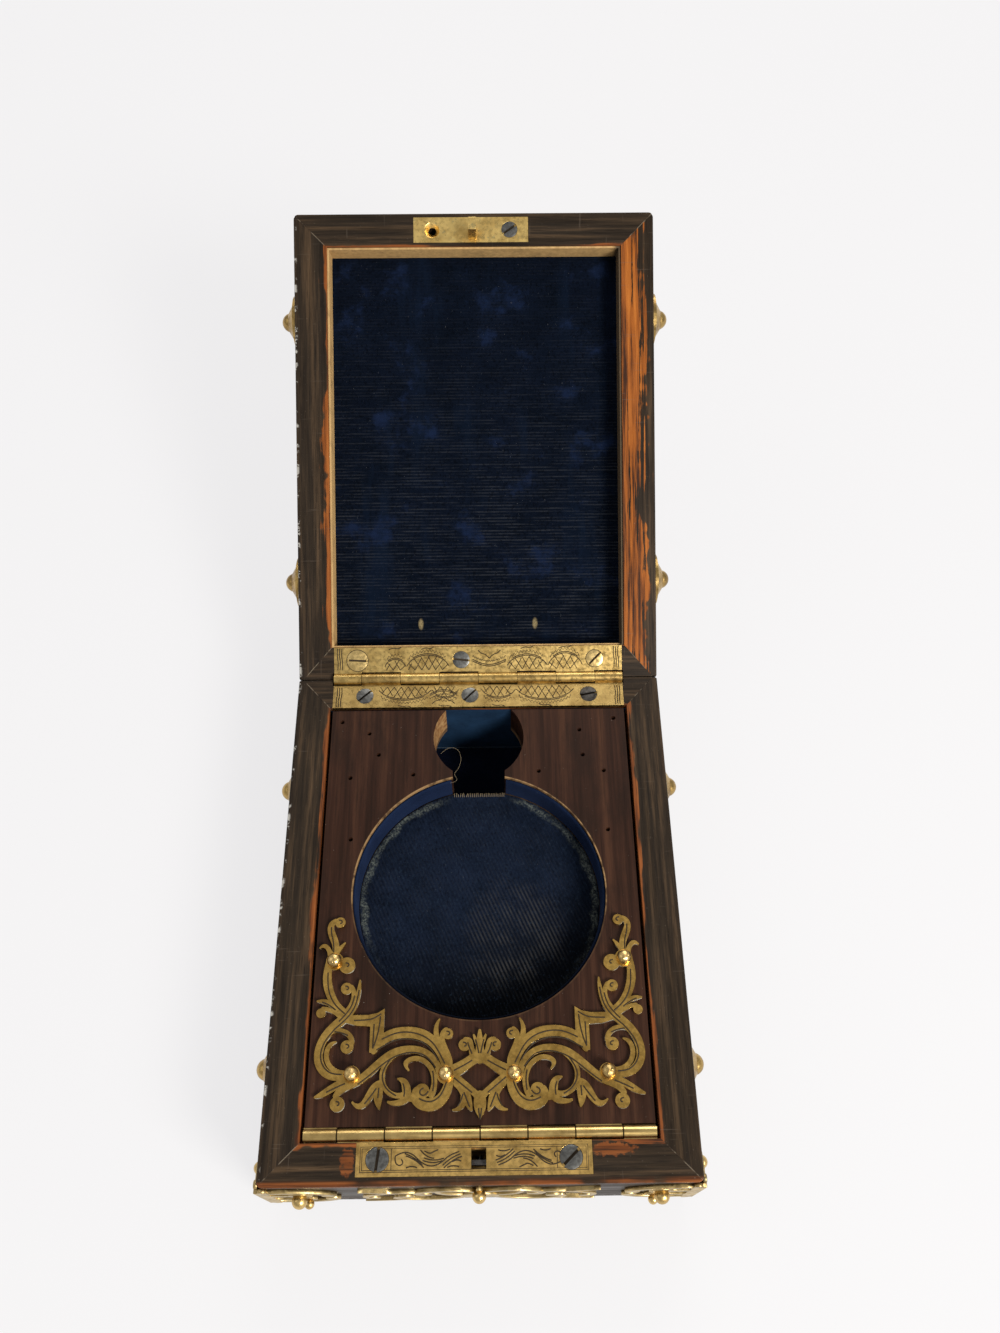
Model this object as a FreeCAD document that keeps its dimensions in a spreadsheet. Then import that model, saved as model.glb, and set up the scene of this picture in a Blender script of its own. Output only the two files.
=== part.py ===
import FreeCAD, Part
import Sketcher
import math
import os
import re

# Travelling case for a pocket watch: a brass-mounted rosewood box with a hinged lid, and inside it
# a hinged flap that holds the watch in a round velvet well.
# Frame: millimetres, origin at the centre of the underside, +X right, +Y to the back, +Z up.
# The lid is drawn shut and then swung open to its stop, as it stands at rest.

doc = FreeCAD.newDocument("travelling_watch_case")
sheet = doc.addObject("Spreadsheet::Sheet", "dims")

# Widths at which the three kinds of scrollwork are drawn, in millimetres.
FLAP_MOUNT_DRAWN = 70.0
FRONT_MOUNT_DRAWN = 49.0
CORNER_MOUNT_DRAWN = 16.0
CORNER_WING_DRAWN = 10.0

# Driving dimensions, in millimetres and degrees.
SIZES = (
    ("case_width", 89.0),
    ("case_depth", 116.2),
    ("base_height", 27.0),
    ("bottom_board", 3.2),
    ("side_wall", 8.1),
    ("front_wall", 8.1),
    ("back_wall", 9.1),
    ("corner_round", 1.2),
    ("lid_height", 14.0),
    ("lid_recess", 6.5),
    ("lid_pad_thick", 2.4),
    ("lid_edge_round", 1.0),
    ("lid_open_angle", 149.0),
    ("rim_gap", 0.3),
    ("stop_clear", 0.15),
    ("strip_thick", 0.5),
    ("strip_drop", 0.4),
    ("floor_lining", 0.6),
    ("ledge_thick", 1.6),
    ("seat_gap", 0.2),
    ("back_lining", 0.3),
    ("hinge_setback", 1.2),
    ("hinge_end_gap", 0.6),
    ("hinge_barrel", 2.8),
    ("hinge_leaf", 1.0),
    ("hinge_pin", 1.2),
    ("end_knuckle", 6.85),
    ("knuckle_gap", 0.12),
    ("pin_clear", 0.03),
    ("run_clear", 0.3),
    ("flap_barrel", 2.5),
    ("flap_pin", 1.1),
    ("flap_leaf", 0.8),
    ("flap_leaf_deep", 7.0),
    ("flap_hinge_in", 1.5),
    ("flap_hinge_drop", 0.8),
    ("flap_drop", 0.6),
    ("flap_thick", 9.4),
    ("flap_gap", 0.7),
    ("backing_thick", 1.8),
    ("well_radius", 28.5),
    ("well_back", 2.4),
    ("well_velvet", 0.8),
    ("velvet_drop", 0.6),
    ("pad_thick", 1.6),
    ("pad_clear", 0.3),
    ("pad_crown", 0.6),
    ("bow_radius", 10.9),
    ("bow_back", 41.0),
    ("neck_width", 12.4),
    ("neck_front", 29.3),
    ("flap_mount_margin", 0.7),
    ("mount_thick", 0.8),
    ("stud_radius", 1.4),
    ("small_stud_radius", 1.05),
    ("stud_lift", 0.85),
    ("lock_offset", 1.2),
    ("hook_offset", 0.3),
    ("lock_plate_long", 47.4),
    ("lock_plate_wide", 6.4),
    ("lock_plate_thick", 1.4),
    ("lock_slot_long", 3.0),
    ("lock_slot_wide", 4.0),
    ("lock_screw_space", 38.8),
    ("lock_screw_head", 4.7),
    ("lock_case_long", 35.6),
    ("lock_case_deep", 17.2),
    ("lock_case_thick", 5.0),
    ("lock_sheet", 0.6),
    ("mortise_clear", 0.1),
    ("bolt_thick", 1.0),
    ("bolt_nose", 1.6),
    ("bolt_clear", 0.1),
    ("nose_clear", 0.75),
    ("nose_root", 5.2),
    ("tail_aside", 10.6),
    ("arm_reach", 7.5),
    ("arm_clear", 0.6),
    ("talon_wide", 4.4),
    ("talon_lean", 0.4),
    ("talon_deep", 1.6),
    ("guide_far", 10.1),
    ("guide_near", 5.3),
    ("lever_thick", 0.6),
    ("lever_layer", 0.1),
    ("lever_arm", 1.6),
    ("lever_eye", 1.8),
    ("lever_pin", 1.6),
    ("pivot_aside", 13.2),
    ("pivot_rise", 1.4),
    ("belly_half", 3.1),
    ("belly_drop", 0.3),
    ("tip_over", 0.7),
    ("stump", 1.0),
    ("stump_aside", 5.9),
    ("lug_wrap", 0.5),
    ("spring_thick", 0.3),
    ("spring_reach", 4.0),
    ("key_drop", 12.1),
    ("key_radius", 4.4),
    ("key_bite", 1.0),
    ("key_lift", 0.9),
    ("drill_pin", 1.4),
    ("keyhole_radius", 1.4),
    ("keyhole_slot", 1.7),
    ("keyhole_long", 3.4),
    ("hook_in", 3.2),
    ("hook_long", 6.8),
    ("hook_wide", 3.0),
    ("hook_thick", 2.0),
    ("hook_bar", 0.6),
    ("eye_clear", 0.25),
    ("link_offset", 0.7),
    ("link_in", 1.0),
    ("link_long", 28.4),
    ("link_wide", 6.2),
    ("link_thick", 1.2),
    ("link_screw_space", 19.1),
    ("small_screw_head", 3.9),
    ("hinge_screw_head", 4.2),
    ("screw_rise", 0.1),
    ("screw_sink", 0.5),
    ("slot_deep", 0.4),
    ("screw_shank", 1.8),
    ("screw_long", 5.5),
    ("screw_slot", 0.5),
    ("boss_radius", 6.4),
    ("boss_flange", 0.8),
    ("boss_cone", 1.7),
    ("flare_foot", 5.2),
    ("flare_tip", 2.3),
    ("boss_dome", 2.4),
    ("dome_sink", 0.7),
    ("boss_front_inset", 24.6),
    ("boss_rear_inset", 25.8),
    ("boss_height", 15.0),
    ("front_mount_width", 49.0),
    ("corner_mount_width", 16.0),
    ("corner_wing", 10.0),
    ("ball_radius", 1.6),
)

# Values that follow from the driving dimensions.
FOLLOWING = (
    ("half_width", "=case_width / 2"),
    ("half_depth", "=case_depth / 2"),
    ("inner_half", "=half_width - side_wall"),
    ("hinge_length", "=2 * (inner_half - hinge_end_gap)"),
    ("knuckle", "=(hinge_length - 2 * end_knuckle) / 6"),
    ("inner_front", "=-half_depth + front_wall"),
    ("inner_back", "=half_depth - back_wall"),
    ("axis_back", "=half_depth - hinge_setback"),
    ("axis_height", "=base_height + rim_gap / 2"),
    ("barrel_radius", "=hinge_barrel / 2"),
    ("lid_rim", "=base_height + rim_gap"),
    ("lid_top", "=lid_rim + lid_height"),
    ("lid_pad_low", "=lid_rim + lid_recess"),
    ("lid_board_low", "=lid_pad_low + lid_pad_thick"),
    ("bevel_angle", "=(180 - lid_open_angle) / 2"),
    ("open_cos", "=cos(lid_open_angle * 1deg)"),
    ("open_sin", "=sin(lid_open_angle * 1deg)"),
    ("lid_swing_y", "=axis_back - axis_back * open_cos - axis_height * open_sin"),
    ("lid_swing_z", "=axis_height + axis_back * open_sin - axis_height * open_cos"),
    ("floor_top", "=bottom_board + floor_lining"),
    ("flap_top", "=base_height - flap_drop"),
    ("flap_low", "=flap_top - flap_thick"),
    ("backing_low", "=flap_low - backing_thick"),
    ("flap_half", "=inner_half - flap_gap"),
    ("flap_back", "=inner_back - back_lining - run_clear"),
    ("flap_axis_y", "=inner_front + flap_hinge_in"),
    ("flap_axis_z", "=base_height - flap_hinge_drop"),
    ("flap_barrel_radius", "=flap_barrel / 2"),
    ("flap_front", "=flap_axis_y + flap_hinge_in"),
    ("pad_radius", "=well_radius - pad_clear"),
    ("well_floor", "=flap_low + pad_thick"),
    ("pad_sphere", "=(pad_radius * pad_radius + pad_crown * pad_crown) / (2 * pad_crown)"),
    ("mount_top", "=flap_top + mount_thick"),
    ("lock_plate_low", "=base_height - lock_plate_thick"),
    ("lock_plate_front", "=inner_front - lock_plate_wide"),
    ("lock_case_low", "=lock_plate_low - lock_case_deep"),
    ("hook_line", "=inner_front - hook_in"),
    ("lock_back", "=hook_line + lock_case_thick / 2 - bolt_clear"),
    ("lock_front", "=lock_back - lock_case_thick"),
    ("bolt_back", "=hook_line + bolt_thick / 2"),
    ("bolt_front", "=hook_line - bolt_thick / 2"),
    ("lever_back_one", "=bolt_front - lever_layer"),
    ("lever_front_one", "=lever_back_one - lever_thick"),
    ("lever_back_two", "=lever_front_one - lever_layer"),
    ("lever_front_two", "=lever_back_two - lever_thick"),
    ("hook_low", "=lid_rim - hook_long"),
    ("nose_low", "=hook_low + hook_bar + eye_clear"),
    ("nose_top", "=nose_low + bolt_nose"),
    ("key_height", "=lock_plate_low - key_drop"),
    ("talon_height", "=key_height + key_radius - key_bite"),
    ("lever_low", "=key_height + key_radius - key_lift"),
    ("flap_mount_scale", "=2 * (flap_half - flap_mount_margin) / %g" % FLAP_MOUNT_DRAWN),
    ("front_mount_scale", "=front_mount_width / %g" % FRONT_MOUNT_DRAWN),
    ("corner_mount_scale", "=corner_mount_width / %g" % CORNER_MOUNT_DRAWN),
    ("corner_wing_scale", "=corner_wing / %g" % CORNER_WING_DRAWN),
)


def fill_sheet():
    row = 1
    for alias, entry in SIZES + FOLLOWING:
        cell = "B%d" % row
        sheet.set("A%d" % row, alias)
        sheet.set(cell, str(entry))
        sheet.setAlias(cell, alias)
        row += 1
    doc.recompute()


fill_sheet()


def size(alias):
    return float(sheet.get(alias))


def bind(expression):
    """The sheet's own reference for each size that an expression names."""
    return re.sub(r"\b[a-z][a-z_]{2,}\b(?!\()", lambda name: "dims." + name.group(0), expression)


def tie(piece, setting, expression):
    piece.setExpression(setting, bind(expression))


def block(name, x, y, z):
    """A rectangular block between two corners, each axis given as a low and a high side."""
    piece = doc.addObject("Part::Box", name)
    for letter, setting, (low, high) in (("x", "Length", x), ("y", "Width", y), ("z", "Height", z)):
        tie(piece, "Placement.Base." + letter, low)
        tie(piece, setting, "(%s) - (%s)" % (high, low))
    return piece


TURNED = {
    "x": FreeCAD.Rotation(FreeCAD.Vector(0, 1, 0), 90),
    "-x": FreeCAD.Rotation(FreeCAD.Vector(0, 1, 0), -90),
    "y": FreeCAD.Rotation(FreeCAD.Vector(1, 0, 0), -90),
    "-y": FreeCAD.Rotation(FreeCAD.Vector(1, 0, 0), 90),
    "z": FreeCAD.Rotation(),
    "-z": FreeCAD.Rotation(FreeCAD.Vector(1, 0, 0), 180),
}


def stand(piece, way, foot):
    """Turn a round piece so that it rises the given way from its foot."""
    piece.Placement = FreeCAD.Placement(FreeCAD.Vector(), TURNED[way])
    for letter, place in zip("xyz", foot):
        tie(piece, "Placement.Base." + letter, place)
    return piece


def rod(name, way, radius, length, foot):
    piece = doc.addObject("Part::Cylinder", name)
    tie(piece, "Radius", radius)
    tie(piece, "Height", length)
    return stand(piece, way, foot)


def cone(name, way, foot_radius, tip_radius, length, foot):
    piece = doc.addObject("Part::Cone", name)
    tie(piece, "Radius1", foot_radius)
    tie(piece, "Radius2", tip_radius)
    tie(piece, "Height", length)
    return stand(piece, way, foot)


def ball(name, way, radius, centre, flat=None):
    """A ball, or one cut flat at a depth behind its middle, seen the way that it rises."""
    piece = doc.addObject("Part::Sphere", name)
    tie(piece, "Radius", radius)
    if flat:
        tie(piece, "Angle1", "-asin((%s) / (%s))" % (flat, radius))
    return stand(piece, way, centre)


def prism(name, plane, corners, low, high):
    """A straight-sided piece: an outline of corner expressions padded between two heights."""
    body = doc.addObject("PartDesign::Body", name)
    origin = [item for item in body.Origin.OriginFeatures if item.Role == plane + "_Plane"][0]
    outline = body.newObject("Sketcher::SketchObject", name + "_outline")
    outline.AttachmentSupport = [(origin, "")]
    outline.MapMode = "FlatFace"
    tie(outline, "AttachmentOffset.Base.z", "-(%s)" % high if plane == "XZ" else low)
    count = len(corners)
    spread = [FreeCAD.Vector(math.cos(2 * math.pi * i / count), math.sin(2 * math.pi * i / count), 0)
              for i in range(count)]
    for i in range(count):
        outline.addGeometry(Part.LineSegment(spread[i], spread[(i + 1) % count]))
    for i in range(count):
        outline.addConstraint(Sketcher.Constraint("Coincident", i, 2, (i + 1) % count, 1))
    for i, (across, along) in enumerate(corners):
        for kind, letter, start, place in (
            ("DistanceX", "x", spread[i].x, across),
            ("DistanceY", "y", spread[i].y, along),
        ):
            number = outline.addConstraint(Sketcher.Constraint(kind, -1, 1, i, 1, start))
            outline.renameConstraint(number, "%s%d" % (letter, i))
            tie(outline, "Constraints.%s%d" % (letter, i), place)
    pad = body.newObject("PartDesign::Pad", name + "_pad")
    pad.Profile = outline
    tie(pad, "Length", "(%s) - (%s)" % (high, low))
    return body


def join(name, *pieces):
    if len(pieces) == 1:
        return pieces[0]
    piece = doc.addObject("Part::MultiFuse", name)
    piece.Shapes = list(pieces)
    return piece


def cut(name, stock, *tools):
    piece = doc.addObject("Part::Cut", name)
    piece.Base = stock
    piece.Tool = tools[0] if len(tools) == 1 else join(name + "_cutters", *tools)
    return piece


def shared(name, first, second):
    piece = doc.addObject("Part::Common", name)
    piece.Base = first
    piece.Tool = second
    return piece


def rounded(name, stock, radius, chosen):
    """Round the edges that a test picks out of a block."""
    doc.recompute()
    piece = doc.addObject("Part::Fillet", name)
    piece.Base = stock
    piece.Edges = [(i + 1, radius, radius) for i, edge in enumerate(stock.Shape.Edges) if chosen(edge)]
    return piece


FLAT = 0.01


def upright(edge):
    ends = [corner.Point for corner in edge.Vertexes]
    return abs(ends[0].z - ends[1].z) > FLAT


def drawn(name, shape):
    piece = doc.addObject("Part::Feature", name)
    piece.Shape = shape
    return piece


NODES = {}


def node(name, piece):
    """Name a finished piece of the case."""
    piece.Label = name
    NODES[name] = piece
    return piece


def lid_node(name, piece):
    """A finished piece of the lid, swung from shut to its open stop."""
    piece.Placement = FreeCAD.Placement(FreeCAD.Vector(), FreeCAD.Rotation(FreeCAD.Vector(1, 0, 0), -1))
    tie(piece, "Placement.Base.y", "lid_swing_y")
    tie(piece, "Placement.Base.z", "lid_swing_z")
    tie(piece, "Placement.Rotation.Angle", "-lid_open_angle")
    return node(name, piece)


# Box of the case: four walls mitred at the corners on a bottom board, rounded at the upright corners.
FRONT_MITRE = (
    ("-half_width", "-half_depth"),
    ("half_width", "-half_depth"),
    ("inner_half", "inner_front"),
    ("-inner_half", "inner_front"),
)
BACK_MITRE = (
    ("half_width", "half_depth"),
    ("-half_width", "half_depth"),
    ("-inner_half", "inner_back"),
    ("inner_half", "inner_back"),
)
LEFT_MITRE = (
    ("-half_width", "half_depth"),
    ("-half_width", "-half_depth"),
    ("-inner_half", "inner_front"),
    ("-inner_half", "inner_back"),
)
RIGHT_MITRE = (
    ("half_width", "-half_depth"),
    ("half_width", "half_depth"),
    ("inner_half", "inner_back"),
    ("inner_half", "inner_front"),
)
ACROSS = ("-half_width", "half_width")
ALONG = ("-half_depth", "half_depth")
INNER_X = ("-inner_half", "inner_half")
INNER_Y = ("inner_front", "inner_back")


def outer_form(name, low, high):
    stock = block(name + "_block", ACROSS, ALONG, (low, high))
    return rounded(name, stock, size("corner_round"), upright)


base_form = outer_form("base_form", "0", "base_height")
lid_form = outer_form("lid_form", "lid_rim", "lid_top")


def stop_bevel(name, turn, corner_z):
    """Wood cut away behind the hinge, so that the lid comes to rest on its back edge."""
    piece = block(name, ACROSS, ("0", "half_depth"), ("0", "lid_height * 2"))
    piece.Placement = FreeCAD.Placement(FreeCAD.Vector(), FreeCAD.Rotation(FreeCAD.Vector(1, 0, 0), 1))
    tie(piece, "Placement.Rotation.Angle", turn)
    tie(piece, "Placement.Base.y", "axis_back - stop_clear")
    tie(piece, "Placement.Base.z", corner_z)
    return piece


base_bevel = stop_bevel("base_bevel", "bevel_angle + 270", "axis_height")
lid_bevel = stop_bevel("lid_bevel", "-bevel_angle", "axis_height")


def wall(name, form, mitre, low, high):
    return shared(name + "_form", form, prism(name + "_mitre", "XY", mitre, low, high))


node(
    "base_bottom",
    shared("bottom_cut", base_form, block("bottom_block", ACROSS, ALONG, ("0", "bottom_board")))
)
left_wall = wall("left_wall", base_form, LEFT_MITRE, "bottom_board", "base_height")
right_wall = wall("right_wall", base_form, RIGHT_MITRE, "bottom_board", "base_height")
node("base_left_wall", cut("left_wall_cut", left_wall, base_bevel))
node("base_right_wall", cut("right_wall_cut", right_wall, base_bevel))
front_wall = wall("front_wall", base_form, FRONT_MITRE, "bottom_board", "base_height")
back_wall = wall("back_wall", base_form, BACK_MITRE, "bottom_board", "base_height")

# Lining of the compartment under the flap: velvet floor, ledge boards that the flap rests on, silk back.
node("base_floor_lining", block("floor_lining_sheet", INNER_X, INNER_Y, ("bottom_board", "floor_top")))
LEDGE = ("floor_top", "backing_low - seat_gap")
ledge_left = block(
    "ledge_left", ("-inner_half", "-inner_half + ledge_thick"),
    ("inner_front", "inner_back - back_lining"), LEDGE
)
ledge_right = block(
    "ledge_right", ("inner_half - ledge_thick", "inner_half"),
    ("inner_front", "inner_back - back_lining"), LEDGE
)
node("base_ledges", join("ledges", ledge_left, ledge_right))
node(
    "base_back_lining",
    block(
        "back_silk", INNER_X, ("inner_back - back_lining", "inner_back"),
        ("floor_top", "base_height - hinge_leaf - run_clear")
    )
)

# Butt hinge of the lid: two engraved leaves let into the back rails, eight knuckles on one pin.
HINGE_ENDS = ("-hinge_length / 2", "hinge_length / 2")
KNUCKLE_EDGES = ["-hinge_length / 2"] + [
    "%d * knuckle" % i for i in range(-3, 4)
] + ["hinge_length / 2"]


def knuckles(name, parity, radius, axis_y, axis_z):
    """Every second knuckle of a hinge barrel, a little shorter than its place."""
    rings = []
    for i in range(parity, len(KNUCKLE_EDGES) - 1, 2):
        low, high = KNUCKLE_EDGES[i], KNUCKLE_EDGES[i + 1]
        start = "%s + knuckle_gap / 2" % low
        rings.append(
            rod(
                "%s_%d" % (name, i), "x", radius, "(%s) - (%s) - knuckle_gap" % (high, low),
                (start, axis_y, axis_z)
            )
        )
    return rings


def knuckle_room(name, parity, y, z):
    """Room in a leaf for the other leaf's knuckles to turn."""
    rooms = []
    for i in range(parity, len(KNUCKLE_EDGES) - 1, 2):
        low, high = KNUCKLE_EDGES[i], KNUCKLE_EDGES[i + 1]
        rooms.append(
            block(
                "%s_%d" % (name, i), ("%s - knuckle_gap / 2" % low, "%s + knuckle_gap / 2" % high), y, z
            )
        )
    return rooms


SCREW_Y = "(inner_back + axis_back - barrel_radius) / 2"
# Screws along the hinge, as shares of its length from the middle.
BASE_HINGE_SCREWS = (-0.391, -0.029, 0.38)
LID_HINGE_SCREWS = (-0.419, -0.059, 0.405)


def screw_set(name, way, places, head, face):
    """Countersunk wood screws: places are x and y, the heads stand just proud of the face."""
    screws = []
    sign = "+" if way == "-z" else "-"
    for i, (x, y) in enumerate(places):
        top = "%s %s screw_rise" % (face, sign)
        disc = rod(
            "%s_head_%d" % (name, i), way, "%s / 2" % head, "screw_rise + screw_sink", (x, y, top)
        )
        shank = rod("%s_shank_%d" % (name, i), way, "screw_shank / 2", "screw_long", (x, y, top))
        floor = "%s - slot_deep" % top if way == "-z" else "%s + slot_deep" % top
        slot_x = ("%s - screw_slot / 2" % x, "%s + screw_slot / 2" % x)
        slot_y = ("%s - %s" % (y, head), "%s + %s" % (y, head))
        slot = block(
            "%s_slot_%d" % (name, i), slot_x, slot_y, (floor, top) if way == "-z" else (top, floor)
        )
        screws.append(cut("%s_%d" % (name, i), join("%s_blank_%d" % (name, i), disc, shank), slot))
    return screws


def screw_holes(name, way, places, head, face):
    """Holes that take a set of screws with a little room."""
    holes = []
    sign = "+" if way == "-z" else "-"
    for i, (x, y) in enumerate(places):
        top = "%s %s screw_rise" % (face, sign)
        holes.append(
            rod(
                "%s_seat_%d" % (name, i), way, "%s / 2 + pin_clear" % head, "screw_rise + screw_sink",
                (x, y, top)
            )
        )
        holes.append(
            rod(
                "%s_bore_%d" % (name, i), way, "screw_shank / 2 + pin_clear", "screw_long + pin_clear",
                (x, y, top)
            )
        )
    return holes


base_hinge_places = [("%g * hinge_length" % share, SCREW_Y) for share in BASE_HINGE_SCREWS]
lid_hinge_places = [("%g * hinge_length" % share, SCREW_Y) for share in LID_HINGE_SCREWS]

base_leaf_z = ("base_height - hinge_leaf", "base_height")
base_leaf_plate = block("base_leaf_plate", HINGE_ENDS, ("inner_back", "axis_back"), base_leaf_z)
base_leaf_room = knuckle_room(
    "base_leaf_room", 0, ("axis_back - barrel_radius - run_clear", "half_depth"), base_leaf_z
)
base_leaf_stock = join(
    "base_leaf_stock", cut("base_leaf_combed", base_leaf_plate, *base_leaf_room),
    *knuckles("base_knuckle", 1, "barrel_radius", "axis_back", "axis_height")
)
pin_bore = rod(
    "lid_pin_bore", "x", "hinge_pin / 2 + pin_clear", "hinge_length + hinge_barrel",
    ("-hinge_length / 2 - barrel_radius", "axis_back", "axis_height")
)
node(
    "base_hinge_leaf",
    cut(
        "base_leaf_bored", base_leaf_stock, pin_bore,
        *screw_holes("base_leaf_hole", "-z", base_hinge_places, "hinge_screw_head", "base_height")
    )
)
node(
    "lid_hinge_pin",
    rod(
        "lid_pin", "x", "hinge_pin / 2", "hinge_length",
        ("-hinge_length / 2", "axis_back", "axis_height")
    )
)
node(
    "base_hinge_screws",
    join(
        "base_hinge_screw_set",
        *screw_set("base_hinge_screw", "-z", base_hinge_places, "hinge_screw_head", "base_height")
    )
)


barrel_room = rod(
    "barrel_room", "x", "barrel_radius + run_clear", "hinge_length + 2 * run_clear",
    ("-hinge_length / 2 - run_clear", "axis_back", "axis_height")
)
base_leaf_bed = block("base_leaf_bed", HINGE_ENDS, ("inner_back", "half_depth"), base_leaf_z)
node(
    "base_back_wall",
    cut(
        "back_wall_cut", back_wall, base_leaf_bed, barrel_room, base_bevel,
        *screw_holes("base_wall_hole", "-z", base_hinge_places, "hinge_screw_head", "base_height")
    )
)

# Lock in the front wall: engraved plate on the rim, sheet case below it, claw bolt and two levers.
LOCK_X = ("-lock_offset - lock_plate_long / 2", "-lock_offset + lock_plate_long / 2")
LOCK_PLATE_Y = ("lock_plate_front", "inner_front")
LOCK_PLATE_Z = ("lock_plate_low", "base_height")
LOCK_SCREW_Y = "lock_plate_front + lock_plate_wide / 2"
lock_screw_places = [
    ("-lock_offset - lock_screw_space / 2", LOCK_SCREW_Y),
    ("-lock_offset + lock_screw_space / 2", LOCK_SCREW_Y)
]
lock_plate_stock = block("lock_plate_stock", LOCK_X, LOCK_PLATE_Y, LOCK_PLATE_Z)
lock_slot = block(
    "lock_slot", ("-hook_offset - lock_slot_long / 2", "-hook_offset + lock_slot_long / 2"),
    ("hook_line - lock_slot_wide / 2", "hook_line + lock_slot_wide / 2"), LOCK_PLATE_Z
)
node(
    "lock_plate",
    cut(
        "lock_plate_cut", lock_plate_stock, lock_slot,
        *screw_holes("lock_plate_hole", "-z", lock_screw_places, "lock_screw_head", "base_height")
    )
)
node(
    "lock_plate_screws",
    join(
        "lock_screw_set",
        *screw_set("lock_screw", "-z", lock_screw_places, "lock_screw_head", "base_height")
    )
)

CASE_X = ("-lock_offset - lock_case_long / 2", "-lock_offset + lock_case_long / 2")
CASE_Z = ("lock_case_low", "lock_plate_low")
case_stock = block("lock_case_stock", CASE_X, ("lock_front + lock_sheet", "lock_back"), CASE_Z)
case_hollow = block(
    "lock_case_hollow",
    (
        "-lock_offset - lock_case_long / 2 + lock_sheet",
        "-lock_offset + lock_case_long / 2 - lock_sheet"
    ),
    ("lock_front + lock_sheet", "lock_back - lock_sheet"),
    ("lock_case_low + lock_sheet", "lock_plate_low")
)
GUIDE_X = ("-hook_offset - guide_far", "-hook_offset - guide_near")
GUIDE_Y = ("bolt_front", "lock_back - lock_sheet")
guide_low = block(
    "lock_guide_low", GUIDE_X, GUIDE_Y,
    ("talon_height - lock_sheet - bolt_clear", "talon_height - bolt_clear")
)
guide_high = block(
    "lock_guide_high", GUIDE_X, GUIDE_Y, ("nose_top + bolt_clear", "nose_top + bolt_clear + lock_sheet")
)
LEVER_PIVOT_X = "-hook_offset - pivot_aside"
LEVER_PIVOT_Z = "lever_low + pivot_rise"
lever_pin_bore = rod(
    "lever_pin_bore", "-y", "lever_pin / 2 + pin_clear", "lock_case_thick",
    (LEVER_PIVOT_X, "lock_back", LEVER_PIVOT_Z)
)
drill_pin_bore = rod(
    "drill_pin_bore", "-y", "drill_pin / 2 + pin_clear", "lock_sheet",
    ("-hook_offset", "lock_back", "key_height")
)
node(
    "lock_case",
    cut(
        "lock_case_bored",
        join("lock_case_box", cut("lock_case_shell", case_stock, case_hollow), guide_low, guide_high),
        lever_pin_bore, drill_pin_bore
    )
)


def keyhole(name, back, front):
    """A round hole for the key's shank with a slot below it for the bit."""
    bow = rod(
        name + "_round", "-y", "keyhole_radius", "(%s) - (%s)" % (back, front),
        ("-hook_offset", back, "key_height")
    )
    slot_x = ("-hook_offset - keyhole_slot / 2", "-hook_offset + keyhole_slot / 2")
    slot = block(name + "_slot", slot_x, (front, back), ("key_height - keyhole_long", "key_height"))
    return bow, slot


cap_stock = block("lock_cap_stock", CASE_X, ("lock_front", "lock_front + lock_sheet"), CASE_Z)
node(
    "lock_cap",
    cut("lock_cap_cut", cap_stock, *keyhole("cap_keyhole", "lock_back", "lock_front - run_clear"))
)
node(
    "lock_lever_pin",
    rod(
        "lever_pin_rod", "-y", "lever_pin / 2", "lock_case_thick - lock_sheet",
        (LEVER_PIVOT_X, "lock_back", LEVER_PIVOT_Z)
    )
)
node(
    "lock_drill_pin",
    rod(
        "drill_pin_rod", "-y", "drill_pin / 2", "lock_case_thick - lock_sheet - bolt_clear",
        ("-hook_offset", "lock_back", "key_height")
    )
)

# Claw bolt: a nose that passes the eye of the lid's hook, a lower arm with the talon for the key's
# bit, and a stump that the levers rest on until the bolt is thrown.
BOLT_TAIL = "-hook_offset - tail_aside"
NOSE_TIP = "-hook_offset - hook_thick / 2 - nose_clear"
NOSE_ROOT = "-hook_offset - nose_root"
ARM_TIP = "-hook_offset + arm_reach"
ARM_TOP = "hook_low - arm_clear"
STUMP_X = "-hook_offset + stump_aside"
BOLT_OUTLINE = (
    (BOLT_TAIL, "talon_height"),
    ("-hook_offset - talon_wide / 2", "talon_height"),
    ("-hook_offset - talon_wide / 2 + talon_lean", "talon_height + talon_deep"),
    ("-hook_offset + talon_wide / 2 - talon_lean", "talon_height + talon_deep"),
    ("-hook_offset + talon_wide / 2", "talon_height"),
    (ARM_TIP, "talon_height"),
    (ARM_TIP, ARM_TOP),
    (NOSE_ROOT, ARM_TOP),
    (NOSE_ROOT, "nose_low"),
    (NOSE_TIP, "nose_low"),
    (NOSE_TIP, "nose_top"),
    (BOLT_TAIL, "nose_top"),
)
bolt_blade = prism("bolt_blade", "XZ", BOLT_OUTLINE, "bolt_front", "bolt_back")
lug_x = (STUMP_X + " - stump / 2 - lug_wrap", ARM_TIP)
lug_z = ("lever_low - lever_layer - stump - lug_wrap", "talon_height")
bolt_lug = block("bolt_lug", lug_x, ("bolt_front", "bolt_back"), lug_z)
bolt_stump = rod(
    "bolt_stump", "-y", "stump / 2", "bolt_thick / 2 + 2 * (lever_thick + lever_layer)",
    (STUMP_X, "hook_line", "lever_low - lever_layer - stump / 2")
)
node("lock_bolt", join("bolt_whole", bolt_blade, bolt_lug, bolt_stump))

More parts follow.
